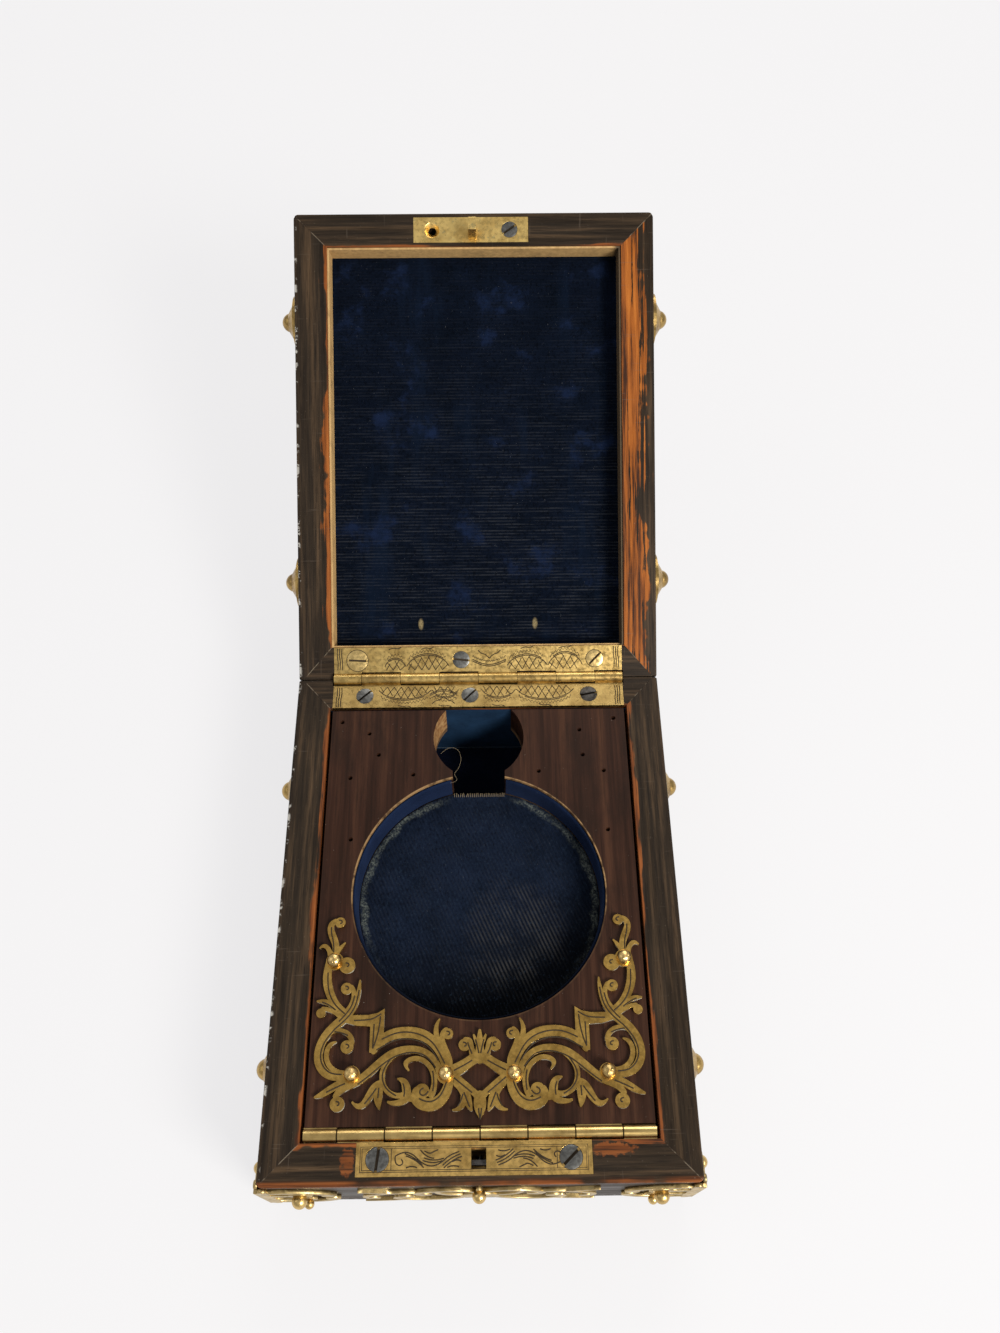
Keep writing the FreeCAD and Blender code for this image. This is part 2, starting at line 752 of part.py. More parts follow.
# Two levers on one pin, each with its own leaf spring; the key's bit lifts them by the belly.
LEVER_TIP = STUMP_X + " + tip_over"
LEVER_OUTLINE = (
    (LEVER_PIVOT_X, "lever_low"),
    ("-hook_offset - belly_half", "lever_low"),
    ("-hook_offset", "lever_low - belly_drop"),
    ("-hook_offset + belly_half", "lever_low"),
    (LEVER_TIP, "lever_low"),
    (LEVER_TIP, "lever_low + lever_arm"),
    (LEVER_PIVOT_X, "lever_low + lever_arm"),
)
SPRING_FOOT = LEVER_PIVOT_X + " + spring_reach"
SPRING_OUTLINE = (
    (SPRING_FOOT, "lever_low + lever_arm"),
    ("%s + spring_thick" % SPRING_FOOT, "lever_low + lever_arm"),
    ("%s + lever_eye" % LEVER_PIVOT_X, "lock_plate_low - lock_sheet"),
    ("%s + lever_eye - spring_thick" % LEVER_PIVOT_X, "lock_plate_low - lock_sheet"),
)


def lever(number, front, back):
    arm = prism("lever_arm_%s" % number, "XZ", LEVER_OUTLINE, front, back)
    eye = rod(
        "lever_eye_%s" % number, "-y", "lever_eye", "lever_thick", (LEVER_PIVOT_X, back, LEVER_PIVOT_Z)
    )
    bore = rod(
        "lever_bore_%s" % number, "-y", "lever_pin / 2 + pin_clear", "lever_thick",
        (LEVER_PIVOT_X, back, LEVER_PIVOT_Z)
    )
    node(
        "lock_lever_%s" % number,
        cut("lever_%s" % number, join("lever_blank_%s" % number, arm, eye), bore)
    )
    node(
        "lock_spring_%s" % number, prism("lever_spring_%s" % number, "XZ", SPRING_OUTLINE, front, back)
    )


lever("one", "lever_front_one", "lever_back_one")
lever("two", "lever_front_two", "lever_back_two")

mortise = block(
    "lock_mortise",
    (
        "-lock_offset - lock_case_long / 2 - mortise_clear",
        "-lock_offset + lock_case_long / 2 + mortise_clear"
    ),
    ("lock_front - mortise_clear", "lock_back + mortise_clear"),
    ("lock_case_low - mortise_clear", "lock_plate_low")
)
lock_plate_bed = block("lock_plate_bed", LOCK_X, LOCK_PLATE_Y, LOCK_PLATE_Z)
node(
    "base_front_wall",
    cut(
        "front_wall_cut", front_wall, mortise, lock_plate_bed,
        *keyhole("wall_keyhole", "lock_front", "-half_depth"),
        *screw_holes("lock_wall_hole", "-z", lock_screw_places, "lock_screw_head", "base_height")
    )
)

# Piano hinge of the flap: one leaf on the front wall, one on the flap's front end.
CASE_LEAF_Y = ("inner_front", "inner_front + flap_leaf")
FLAP_LEAF_Y = ("flap_front - flap_leaf", "flap_front")
FLAP_LEAF_Z = ("flap_axis_z - flap_leaf_deep", "flap_axis_z")
FLAP_ROOM_Z = ("flap_axis_z - flap_barrel_radius - run_clear", "flap_axis_z")
flap_bore = rod(
    "flap_pin_bore", "x", "flap_pin / 2 + pin_clear", "hinge_length + flap_barrel",
    ("-hinge_length / 2 - flap_barrel_radius", "flap_axis_y", "flap_axis_z")
)


def flap_hinge_half(name, leaf_y, own, other):
    plate = block(name + "_plate", HINGE_ENDS, leaf_y, FLAP_LEAF_Z)
    combed = cut(name + "_combed", plate, *knuckle_room(name + "_room", other, leaf_y, FLAP_ROOM_Z))
    whole = join(
        name + "_stock", combed,
        *knuckles(name + "_knuckle", own, "flap_barrel_radius", "flap_axis_y", "flap_axis_z")
    )
    return cut(name + "_bored", whole, flap_bore)


node("case_flap_hinge_leaf", flap_hinge_half("case_leaf", CASE_LEAF_Y, 1, 0))
node("flap_hinge_leaf", flap_hinge_half("flap_leaf_half", FLAP_LEAF_Y, 0, 1))
node(
    "flap_hinge_pin",
    rod(
        "flap_pin_rod", "x", "flap_pin / 2", "hinge_length",
        ("-hinge_length / 2", "flap_axis_y", "flap_axis_z")
    )
)

# Flap: a veneered board with the round well and the bulb-shaped slot for the watch's pendant and bow.
FLAP_X = ("-flap_half", "flap_half")
FLAP_Y = ("flap_front", "flap_back")
NECK_X = ("-neck_width / 2", "neck_width / 2")


def bow_cut(name, low, high, neck_from):
    bulb = rod(name + "_bulb", "z", "bow_radius", "(%s) - (%s)" % (high, low), ("0", "bow_back", low))
    neck = block(name + "_neck", NECK_X, (neck_from, "bow_back"), (low, high))
    return bulb, neck


flap_board = block("flap_board", FLAP_X, FLAP_Y, ("flap_low", "flap_top"))
well_bore = rod("well_bore", "z", "well_radius", "flap_thick", ("0", "well_back", "flap_low"))
node(
    "flap_panel",
    cut(
        "flap_panel_cut", flap_board, well_bore,
        *bow_cut("panel_bow", "flap_low", "flap_top", "well_back")
    )
)
backing_board = block("backing_board", FLAP_X, FLAP_Y, ("backing_low", "flap_low"))
node(
    "flap_backing",
    cut(
        "flap_backing_cut", backing_board,
        *bow_cut("backing_bow", "backing_low", "flap_low", "neck_front")
    )
)
velvet_foot = ("0", "well_back", "well_floor")
velvet_tube = rod(
    "well_velvet_outer", "z", "well_radius - pin_clear", "flap_top - velvet_drop - well_floor",
    velvet_foot
)
velvet_bore = rod("well_velvet_inner", "z", "well_radius - well_velvet", "flap_thick", velvet_foot)
velvet_neck = block("well_velvet_neck", NECK_X, ("well_back", "bow_back"), ("flap_low", "flap_top"))
node("well_lining", cut("well_velvet_ring", velvet_tube, velvet_bore, velvet_neck))
pad_disc = rod("pad_disc", "z", "pad_radius", "pad_thick", ("0", "well_back", "flap_low"))
pad_crown = ball(
    "pad_crown", "z", "pad_sphere", ("0", "well_back", "flap_low + pad_thick - pad_sphere")
)
pad_chord = block("pad_chord", FLAP_X, ("neck_front", "bow_back"), ("flap_low", "flap_top"))
node("watch_pad", cut("watch_pad_cut", shared("pad_domed", pad_disc, pad_crown), pad_chord))


# Brass scrollwork: every stroke is a strip along a curve, given as x, y and width at a few points,
# drawn for the right-hand half with y from the lower edge of the board that carries it.
def stroke(points):
    centre = Part.BSplineCurve()
    centre.interpolate([FreeCAD.Vector(x, y, 0) for x, y, width in points])
    sides = ([], [])
    for x, y, width in points:
        here = FreeCAD.Vector(x, y, 0)
        along = FreeCAD.Vector(centre.tangent(centre.parameter(here))[0])
        aside = FreeCAD.Vector(-along.y, along.x, 0).normalize()
        sides[0].append(here + aside * (width / 2))
        sides[1].append(here - aside * (width / 2))
    edges = []
    for side in sides:
        curve = Part.BSplineCurve()
        curve.interpolate(side)
        edges.append(curve.toShape())
    for end in (0, -1):
        x, y, width = points[end]
        here = FreeCAD.Vector(x, y, 0)
        along = FreeCAD.Vector(centre.tangent(centre.parameter(here))[0]).normalize()
        tip = here + along * (width / 2 if end else -width / 2)
        edges.append(Part.Arc(sides[0][end], tip, sides[1][end]).toShape())
    return Part.Face(Part.Wire(Part.__sortEdges__(edges)))


def eye(x, y, radius):
    return Part.Face(Part.Wire(Part.makeCircle(radius, FreeCAD.Vector(x, y, 0))))


def patch(corners):
    points = [FreeCAD.Vector(x, y, 0) for x, y in corners]
    return Part.Face(Part.makePolygon(points + points[:1]))


def scrollwork(strokes, eyes, patches, scale, thickness):
    """One flat piece of pierced work, from its strokes, round ends and straight-sided straps."""
    faces = [stroke([[scale * value for value in point] for point in points]) for points in strokes]
    faces += [eye(*[scale * value for value in item]) for item in eyes]
    faces += [patch([[scale * value for value in point] for point in corners]) for corners in patches]
    strips = [face.extrude(FreeCAD.Vector(0, 0, thickness)) for face in faces]
    return strips[0].multiFuse(strips[1:]).removeSplitter()


def mirrored(strokes):
    return tuple(tuple((-x, y, width) for x, y, width in points) for points in strokes)


FLAP_AXIS_STROKES = (
    ((0, 12.8, 1.8), (0, 16.0, 1.5), (0, 18.6, 0.6)),
    ((0, 5.5, 2.2), (0, 3.4, 2.4), (0, 1.6, 0.7)),
)
FLAP_STROKES = (
    ((0, 13.0, 1.2), (1.7, 12.0, 1.1), (3.3, 10.9, 1.2), (5.6, 9.8, 1.6)),
    ((0, 5.1, 1.6), (1.6, 6.6, 1.3), (3.4, 8.1, 1.3), (5.6, 9.6, 1.6)),
    ((0.2, 15.6, 0.9), (0.9, 16.8, 0.7), (1.25, 17.7, 0.4)),
    ((0.9, 13.7, 1.3), (1.7, 14.8, 1.2), (1.95, 16.1, 1.1), (3.0, 16.8, 1.0)),
    ((1.2, 13.7, 1.1), (3.0, 12.4, 1.2), (5.8, 11.0, 1.4)),
    ((4.6, 8.1, 1.8), (3.2, 6.4, 1.9), (2.5, 4.6, 1.7), (1.8, 2.9, 0.6)),
    ((3.2, 6.2, 1.4), (3.4, 4.4, 1.5), (4.2, 3.3, 1.0), (5.5, 2.9, 0.4)),
    (
        (7.0, 11.0, 1.6), (7.9, 13.8, 1.9), (9.4, 16.0, 2.1), (12.0, 17.8, 2.3), (15.3, 18.4, 2.3),
        (18.4, 18.0, 2.2), (20.6, 16.8, 2.0), (22.2, 14.6, 1.1)
    ),
    ((6.4, 11.4, 1.3), (6.7, 13.8, 1.2), (7.6, 16.0, 1.0), (7.9, 17.7, 1.0), (7.1, 18.9, 0.9)),
    ((7.6, 13.8, 1.2), (8.8, 16.6, 1.2), (9.2, 18.8, 1.0), (8.5, 21.0, 0.35)),
    (
        (8.4, 10.4, 1.4), (9.6, 12.8, 1.4), (12.0, 14.5, 1.5), (15.0, 14.9, 1.6), (18.2, 14.1, 1.7),
        (20.8, 12.3, 1.7), (23.2, 10.2, 1.7), (25.6, 8.5, 1.6), (28.2, 7.3, 1.4), (29.6, 5.9, 1.1)
    ),
    (
        (14.8, 10.8, 0.4), (15.3, 12.3, 1.0), (13.4, 13.1, 1.0), (11.2, 12.3, 1.0), (9.7, 10.2, 1.1),
        (9.4, 8.0, 1.2), (10.0, 6.0, 1.4)
    ),
    (
        (16.4, 14.4, 0.9), (18.6, 13.1, 1.0), (20.0, 11.0, 1.1), (20.1, 8.6, 1.1), (18.9, 6.6, 1.1),
        (17.0, 5.8, 1.1), (15.4, 6.1, 1.2)
    ),
    (
        (6.4, 8.8, 1.8), (7.0, 6.4, 2.1), (8.6, 4.5, 2.4), (11.0, 4.0, 2.5), (13.0, 5.1, 2.2),
        (13.0, 6.7, 1.6)
    ),
    (
        (16.9, 9.1, 0.4), (15.6, 8.4, 1.4), (15.1, 6.8, 1.8), (15.3, 5.2, 1.6), (17.0, 4.4, 1.1),
        (18.8, 4.6, 0.5)
    ),
    ((13.2, 5.4, 1.4), (14.0, 5.3, 1.4), (15.0, 5.4, 1.4)),
    ((20.2, 8.4, 1.1), (21.8, 7.2, 1.7), (22.9, 5.4, 1.6), (24.4, 3.9, 1.2), (26.1, 4.6, 0.4)),
    ((20.6, 7.8, 1.3), (20.9, 5.6, 1.8), (20.6, 3.4, 0.5)),
    ((26.6, 9.0, 1.6), (29.4, 8.0, 1.5), (31.6, 6.7, 1.4), (33.8, 5.7, 0.5)),
    (
        (27.4, 9.9, 1.3), (29.6, 9.6, 1.5), (31.9, 10.4, 1.7), (33.4, 12.4, 1.8), (33.6, 14.8, 1.8),
        (32.7, 17.4, 1.8), (30.9, 19.6, 1.9), (28.9, 21.3, 2.0), (27.2, 23.3, 1.7), (26.2, 25.6, 1.2),
        (25.8, 27.8, 0.8), (25.7, 29.4, 0.35)
    ),
    (
        (30.2, 16.6, 0.4), (31.5, 15.8, 0.9), (32.0, 14.0, 1.0), (31.4, 12.1, 1.0), (29.9, 10.8, 1.0),
        (28.0, 10.4, 1.0)
    ),
    ((31.2, 18.7, 1.0), (29.2, 18.9, 1.0), (27.5, 18.0, 1.1), (26.8, 16.4, 1.0)),
    (
        (28.0, 22.2, 1.6), (30.2, 23.8, 1.7), (31.8, 26.2, 1.8), (32.7, 29.0, 1.9), (32.8, 31.6, 1.7),
        (32.4, 33.8, 1.6)
    ),
    ((28.4, 22.6, 1.2), (27.2, 24.6, 1.0), (26.9, 26.6, 1.0), (27.5, 28.0, 1.0)),
    ((29.4, 22.6, 1.1), (31.6, 24.4, 1.2), (33.2, 25.0, 1.0), (34.6, 25.1, 0.4)),
    ((29.8, 22.0, 0.9), (31.8, 23.2, 0.9), (33.3, 23.5, 0.9)),
    ((31.4, 33.6, 1.3), (30.2, 33.2, 1.3), (29.0, 32.9, 1.3)),
    ((32.4, 34.4, 1.2), (32.8, 36.0, 1.0), (33.8, 37.0, 0.9), (34.8, 36.6, 0.35)),
    ((31.4, 35.0, 1.1), (30.4, 36.4, 0.9), (29.4, 37.6, 0.35)),
    ((31.6, 35.0, 1.2), (31.5, 37.4, 1.5), (32.4, 39.6, 1.6), (32.7, 41.4, 1.3), (31.7, 42.5, 1.1)),
)
FLAP_EYES = (
    (3.2, 15.7, 1.25), (6.7, 18.0, 1.1), (29.2, 4.3, 1.5), (11.9, 6.6, 1.5), (
        27.8, 15.6, 1.35
    ), (28.5, 27.7, 1.25),
    (33.7, 22.6, 1.0), (
        28.7, 32.7, 1.75
    ), (30.7, 42.2, 1.15), (7.1, 9.9, 1.9), (26.6, 10.0, 1.8), (31.4, 33.6, 1.9),
)
FLAP_STRAPS = (
    (
        (20.2, 23.4), (21.6, 22.5), (23.6, 22.1), (27.2, 22.1), (28.6, 20.6), (26.0, 19.9),
        (23.1, 19.7), (23.1, 14.4), (21.6, 14.4), (20.2, 17.0)
    ),
)
FLAP_STUD_PLACES = ((7.1, 9.9), (26.6, 10.0), (31.4, 33.6))


def both_sides(places):
    return [(side * x, y) for x, y in places for side in (-1, 1)]


def mirror_work(strokes, axis_strokes, eyes, straps, scale):
    all_eyes = eyes + tuple((-x, y, radius) for x, y, radius in eyes if x)
    all_straps = straps + tuple(tuple((-x, y) for x, y in corners) for corners in straps)
    return scrollwork(
        axis_strokes + strokes + mirrored(strokes), all_eyes, all_straps, scale, size("mount_thick")
    )


flap_work = mirror_work(
    FLAP_STROKES, FLAP_AXIS_STROKES, FLAP_EYES, FLAP_STRAPS, size("flap_mount_scale")
)
flap_mount = drawn("flap_scrollwork", flap_work)
tie(flap_mount, "Placement.Base.y", "flap_front")
tie(flap_mount, "Placement.Base.z", "flap_top")
node("flap_mount", flap_mount)


def round_studs(name, way, feet, radius):
    """Brass studs: a ball with its underside flat on each foot."""
    studs = []
    step = {"z": (0, 0, 1), "-y": (0, -1, 0), "x": (1, 0, 0), "-x": (-1, 0, 0)}[way]
    for i, foot in enumerate(feet):
        middle = ["%s + (%d) * stud_lift" % (place, sign) for place, sign in zip(foot, step)]
        studs.append(ball("%s_%d" % (name, i), way, radius, middle, "stud_lift"))
    return studs


flap_stud_feet = [
    ("%g * flap_mount_scale" % x, "flap_front + %g * flap_mount_scale" % y, "mount_top")
    for x, y in both_sides(FLAP_STUD_PLACES)
]
node("flap_studs", join("flap_stud_set", *round_studs("flap_stud", "z", flap_stud_feet, "stud_radius")))

# Mounts outside the base: pierced work round the keyhole and angle mounts on the two front corners,
# drawn with y as the height above the underside.
FRONT_AXIS_STROKES = (
    ((0, 16.5, 2.2), (0, 20.0, 1.8), (0, 24.6, 1.0)),
    ((0, 10.6, 2.2), (0, 7.4, 1.9), (0, 4.6, 0.8)),
)
FRONT_STROKES = (
    ((0.6, 20.6, 1.4), (4.0, 23.2, 1.6), (8.4, 23.2, 1.8), (11.8, 21.0, 1.7), (12.8, 17.9, 1.4)),
    (
        (3.2, 11.6, 1.6), (6.0, 8.2, 1.7), (10.0, 6.4, 1.8), (14.4, 7.0, 1.8), (17.2, 9.8, 1.6),
        (17.0, 12.6, 1.3)
    ),
    ((12.2, 19.6, 1.4), (16.0, 20.4, 1.7), (20.0, 19.0, 1.8), (22.9, 16.0, 1.6), (23.6, 12.8, 1.2)),
    ((17.6, 20.2, 1.3), (20.8, 21.6, 1.2), (24.2, 22.8, 0.5)),
    ((15.6, 7.6, 1.3), (19.6, 6.0, 1.3), (24.2, 5.4, 0.5)),
    ((3.4, 14.8, 1.4), (6.6, 16.6, 1.4), (8.2, 19.4, 1.1), (8.4, 22.6, 1.0)),
)
FRONT_EYES = ((11.4, 16.9, 1.7), (15.4, 12.8, 1.7), (22.3, 11.4, 1.6))
SHIELD_RADIUS = 4.0
CENTRE_STUD_HEIGHT = 22.4
CORNER_POST = (4.4, 24.4)
CORNER_STROKES = (
    ((0.9, CORNER_POST[0], 1.8), (0.9, 14.0, 1.8), (0.9, CORNER_POST[1], 1.8)),
    ((1.0, 22.6, 1.6), (6.0, 22.9, 1.7), (10.8, 21.4, 1.7), (14.0, 18.4, 1.4)),
    ((1.0, 6.4, 1.6), (6.0, 5.6, 1.7), (10.8, 6.8, 1.7), (14.2, 10.0, 1.4)),
    ((0.9, 17.6, 2.2), (4.0, 17.6, 2.4), (7.4, 17.6, 2.4)),
    ((8.4, 16.6, 1.4), (8.6, 13.0, 1.3), (8.4, 10.6, 1.4)),
    ((0.9, 10.6, 1.6), (4.4, 10.2, 1.5), (8.4, 10.6, 1.5)),
)
CORNER_STUD = (7.5, 17.6)
SMALL_STUD = (8.5, 10.6)
CORNER_EYES = ((13.4, 17.0, 1.6), (13.6, 11.4, 1.6), CORNER_STUD + (2.6,), SMALL_STUD + (1.7,))
WING_STROKES = (
    ((0.9, CORNER_POST[0], 1.8), (0.9, 14.0, 1.8), (0.9, CORNER_POST[1], 1.8)),
    ((1.0, 22.6, 1.6), (4.6, 22.2, 1.6), (7.6, 19.6, 1.3)),
    ((1.0, 6.4, 1.6), (4.6, 6.8, 1.6), (7.6, 9.4, 1.3)),
    ((0.9, 14.5, 2.0), (2.8, 14.5, 2.0), (4.8, 14.5, 2.0)),
)
WING_STUD = (5.0, 14.5)
WING_EYES = ((7.2, 18.2, 1.5), (7.2, 10.8, 1.5), WING_STUD + (2.2,))

thick = size("mount_thick")
to_front = FreeCAD.Rotation(FreeCAD.Vector(1, 0, 0), 90)
to_side = FreeCAD.Rotation(FreeCAD.Vector(1, 1, 1), 120)


def laid(work, turn, place):
    """Flat work turned upright and set against a wall."""
    copy = work.copy()
    copy.Placement = FreeCAD.Placement(place, turn)
    return copy


front_scale = size("front_mount_scale")
shield = (0, size("key_height") / front_scale, SHIELD_RADIUS)
front_work = mirror_work(FRONT_STROKES, FRONT_AXIS_STROKES, FRONT_EYES + (shield,), (), front_scale)
front_foot = FreeCAD.Vector(-size("hook_offset"), -size("half_depth"), 0)
front_mount = drawn("front_scrollwork", laid(front_work, to_front, front_foot))
node(
    "front_mount",
    cut(
        "front_mount_cut", front_mount,
        *keyhole("mount_keyhole", "-half_depth", "-half_depth - mount_thick")
    )
)
FRONT_FACE = "-half_depth - mount_thick"
centre_foot = [("-hook_offset", FRONT_FACE, "%g * front_mount_scale" % CENTRE_STUD_HEIGHT)]
node(
    "front_centre_stud",
    join("front_stud_set", *round_studs("front_stud", "-y", centre_foot, "stud_radius"))
)

corner = FreeCAD.Vector(-size("half_width"), -size("half_depth"), 0)
corner_scale = size("corner_mount_scale")
wing_scale = size("corner_wing_scale")
corner_work = scrollwork(CORNER_STROKES, CORNER_EYES, (), corner_scale, thick)
wing_work = scrollwork(WING_STROKES, WING_EYES, (), wing_scale, -thick)
corner_plate = laid(corner_work, to_front, corner)
wing_plate = laid(wing_work, to_side, corner)
post_low, post_high = [corner_scale * height for height in CORNER_POST]
bar_foot = corner + FreeCAD.Vector(-thick, -thick, post_low)
bar = Part.makeBox(2 * thick, 2 * thick, post_high - post_low, bar_foot)
inside = Part.makeBox(size("case_width"), size("case_depth"), size("base_height"), corner)
left_mount = corner_plate.multiFuse([wing_plate, bar.cut(inside)]).removeSplitter()
node("corner_mount_left", drawn("left_angle_mount", left_mount))
node(
    "corner_mount_right",
    drawn("right_angle_mount", left_mount.mirror(FreeCAD.Vector(), FreeCAD.Vector(1, 0, 0)))
)


def front_feet(place):
    across = "(half_width - %g * corner_mount_scale)" % place[0]
    height = "%g * corner_mount_scale" % place[1]
    return [("-" + across, FRONT_FACE, height), (across, FRONT_FACE, height)]


wing_y = "-half_depth + %g * corner_wing_scale" % WING_STUD[0]
wing_z = "%g * corner_wing_scale" % WING_STUD[1]
wing_left = [("-half_width - mount_thick", wing_y, wing_z)]
wing_right = [("half_width + mount_thick", wing_y, wing_z)]
corner_balls = round_studs("corner_stud", "-y", front_feet(CORNER_STUD), "ball_radius")
corner_balls += round_studs("small_stud", "-y", front_feet(SMALL_STUD), "small_stud_radius")
corner_balls += round_studs("wing_stud_left", "-x", wing_left, "stud_radius")
corner_balls += round_studs("wing_stud_right", "x", wing_right, "stud_radius")
node("corner_studs", join("corner_stud_set", *corner_balls))


def bosses(name, way, height):
    """Two turned bosses on one side of the case: flange, hollowed cone and dome."""
    sign = "-" if way == "-x" else ""
    whole = []
    for i, y in enumerate(("-half_depth + boss_front_inset", "half_depth - boss_rear_inset")):
        foot = "%s half_width" % sign
        cone_foot = "%s (half_width + boss_flange)" % sign
        dome = "%s (half_width + boss_flange + boss_cone - dome_sink)" % sign
        flange = rod("%s_flange_%d" % (name, i), way, "boss_radius", "boss_flange", (foot, y, height))
        flare = cone(
            "%s_flare_%d" % (name, i), way, "flare_foot", "flare_tip", "boss_cone",
            (cone_foot, y, height)
        )
        button = ball("%s_dome_%d" % (name, i), way, "boss_dome", (dome, y, height), "dome_sink")
        whole.append(join("%s_%d" % (name, i), flange, flare, button))
    return join(name, *whole)


node("base_bosses_left", bosses("base_boss_left", "-x", "boss_height"))
node("base_bosses_right", bosses("base_boss_right", "x", "boss_height"))

# Lid, drawn shut: mitred rails under a solid top board, a velvet panel and thin strips in the recess.
LID_RAIL_Z = ("lid_rim", "lid_board_low")
lid_left = wall("lid_left", lid_form, LEFT_MITRE, *LID_RAIL_Z)
lid_right = wall("lid_right", lid_form, RIGHT_MITRE, *LID_RAIL_Z)
lid_node("lid_left_rail", cut("lid_left_cut", lid_left, lid_bevel))
lid_node("lid_right_rail", cut("lid_right_cut", lid_right, lid_bevel))
lid_front = wall("lid_front", lid_form, FRONT_MITRE, *LID_RAIL_Z)
lid_back = wall("lid_back", lid_form, BACK_MITRE, *LID_RAIL_Z)
board_stock = shared(
    "lid_board_stock", lid_form, block("lid_board_block", ACROSS, ALONG, ("lid_board_low", "lid_top"))
)
lid_top_height = size("lid_top")


def on_lid_top(edge):
    return all(abs(corner_point.Point.z - lid_top_height) < FLAT for corner_point in edge.Vertexes)


board_rounded = rounded("lid_board_rounded", board_stock, size("lid_edge_round"), on_lid_top)
LID_LEAF_Z = ("lid_rim", "lid_rim + hinge_leaf")
lid_leaf_bed = block("lid_leaf_bed", HINGE_ENDS, ("inner_back", "half_depth"), LID_LEAF_Z)
lid_back_holes = screw_holes("lid_rail_hole", "z", lid_hinge_places, "hinge_screw_head", "lid_rim")
lid_node(
    "lid_back_rail",
    cut("lid_back_cut", lid_back, lid_leaf_bed, barrel_room, lid_bevel, *lid_back_holes)
)
lid_node("lid_top_board", board_rounded)
lid_pad_stock = block("lid_pad_stock", INNER_X, INNER_Y, ("lid_pad_low", "lid_board_low"))
lid_node("lid_velvet_panel", shared("lid_pad", lid_form, lid_pad_stock))
STRIP_Z = ("lid_rim + strip_drop", "lid_pad_low")
strip_whole = block("strip_whole", INNER_X, INNER_Y, STRIP_Z)
strip_hollow = block(
    "strip_hollow", ("-inner_half + strip_thick", "inner_half - strip_thick"),
    ("inner_front + strip_thick", "inner_back - strip_thick"), STRIP_Z
)
strip_leaf_room = block(
    "strip_leaf_room", HINGE_ENDS, ("inner_back - strip_thick", "inner_back"), LID_LEAF_Z
)
lid_node("lid_recess_strips", cut("strip_ring", strip_whole, strip_hollow, strip_leaf_room))

lid_leaf_plate = block("lid_leaf_plate", HINGE_ENDS, ("inner_back", "axis_back"), LID_LEAF_Z)
lid_leaf_room = knuckle_room(
    "lid_leaf_room", 1, ("axis_back - barrel_radius - run_clear", "half_depth"), LID_LEAF_Z
)
lid_leaf_stock = join(
    "lid_leaf_stock", cut("lid_leaf_combed", lid_leaf_plate, *lid_leaf_room),
    *knuckles("lid_knuckle", 0, "barrel_radius", "axis_back", "axis_height")
)
lid_node(
    "lid_hinge_leaf",
    cut(
        "lid_leaf_bored", lid_leaf_stock, pin_bore,
        *screw_holes("lid_leaf_hole", "z", lid_hinge_places, "hinge_screw_head", "lid_rim")
    )
)
lid_node(
    "lid_hinge_screws",
    join(
        "lid_hinge_screw_set",
        *screw_set("lid_hinge_screw", "z", lid_hinge_places, "hinge_screw_head", "lid_rim")
    )
)

# Link plate of the lock, let into the lid's front rail: a hook with an eye for the bolt, one screw
# left and the other one's hole empty.
LINK_X = ("-link_offset - link_long / 2", "-link_offset + link_long / 2")
LINK_Y = ("inner_front - link_in - link_wide", "inner_front - link_in")
LINK_Z = ("lid_rim", "lid_rim + link_thick")
LINK_SCREW_Y = "inner_front - link_in - link_wide / 2"
link_screw_place = [("-link_offset + link_screw_space / 2", LINK_SCREW_Y)]
link_hole_place = ("-link_offset - link_screw_space / 2", LINK_SCREW_Y, "lid_rim")
link_stock = block("link_stock", LINK_X, LINK_Y, LINK_Z)
empty_sink = cone(
    "empty_sink", "z", "small_screw_head / 2", "screw_shank / 2", "link_thick", link_hole_place
)
empty_bore = rod("empty_bore", "z", "screw_shank / 2", "screw_long", link_hole_place)
lid_node(
    "lid_link_plate",
    cut(
        "link_cut", link_stock, empty_sink,
        *screw_holes("link_hole", "z", link_screw_place, "small_screw_head", "lid_rim")
    )
)
lid_node(
    "lid_link_screw",
    join(
        "link_screw_set", *screw_set("link_screw", "z", link_screw_place, "small_screw_head", "lid_rim")
    )
)
hook_stock = block(
    "hook_stock", ("-hook_offset - hook_thick / 2", "-hook_offset + hook_thick / 2"),
    ("hook_line - hook_wide / 2", "hook_line + hook_wide / 2"), ("hook_low", "lid_rim")
)
HOOK_EYE_X = ("-hook_offset - hook_thick", "-hook_offset + hook_thick")
hook_eye = block(
    "hook_eye", HOOK_EYE_X, ("bolt_front - eye_clear", "bolt_back + eye_clear"),
    ("hook_low + hook_bar", "nose_top + eye_clear")
)
lid_node("lid_lock_hook", cut("hook_cut", hook_stock, hook_eye))
link_bed = block("link_bed", LINK_X, LINK_Y, LINK_Z)
lid_node(
    "lid_front_rail",
    cut(
        "lid_front_cut", lid_front, link_bed, empty_bore,
        *screw_holes("link_rail_hole", "z", link_screw_place, "small_screw_head", "lid_rim")
    )
)
LID_BOSS_HEIGHT = "lid_rim + lid_height / 2"
lid_node("lid_bosses_left", bosses("lid_boss_left", "-x", LID_BOSS_HEIGHT))
lid_node("lid_bosses_right", bosses("lid_boss_right", "x", LID_BOSS_HEIGHT))


def check_model():
    doc.recompute()
    for item in doc.Objects:
        if "Invalid" in item.State or "Error" in item.State:
            raise RuntimeError("%s did not compute" % item.Label)
    for name, piece in NODES.items():
        if piece.Shape.isNull() or not piece.Shape.isValid() or not piece.Shape.Solids:
            raise RuntimeError("%s has no sound solid" % name)


check_model()
os.makedirs("parts", exist_ok=True)
for name, piece in NODES.items():
    piece.Shape.exportStep("parts/%s.step" % name)
    print("%-22s %d solids %9.1f mm3" % (name, len(piece.Shape.Solids), piece.Shape.Volume))
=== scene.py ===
import bpy
import math
from mathutils import Matrix, Vector, noise


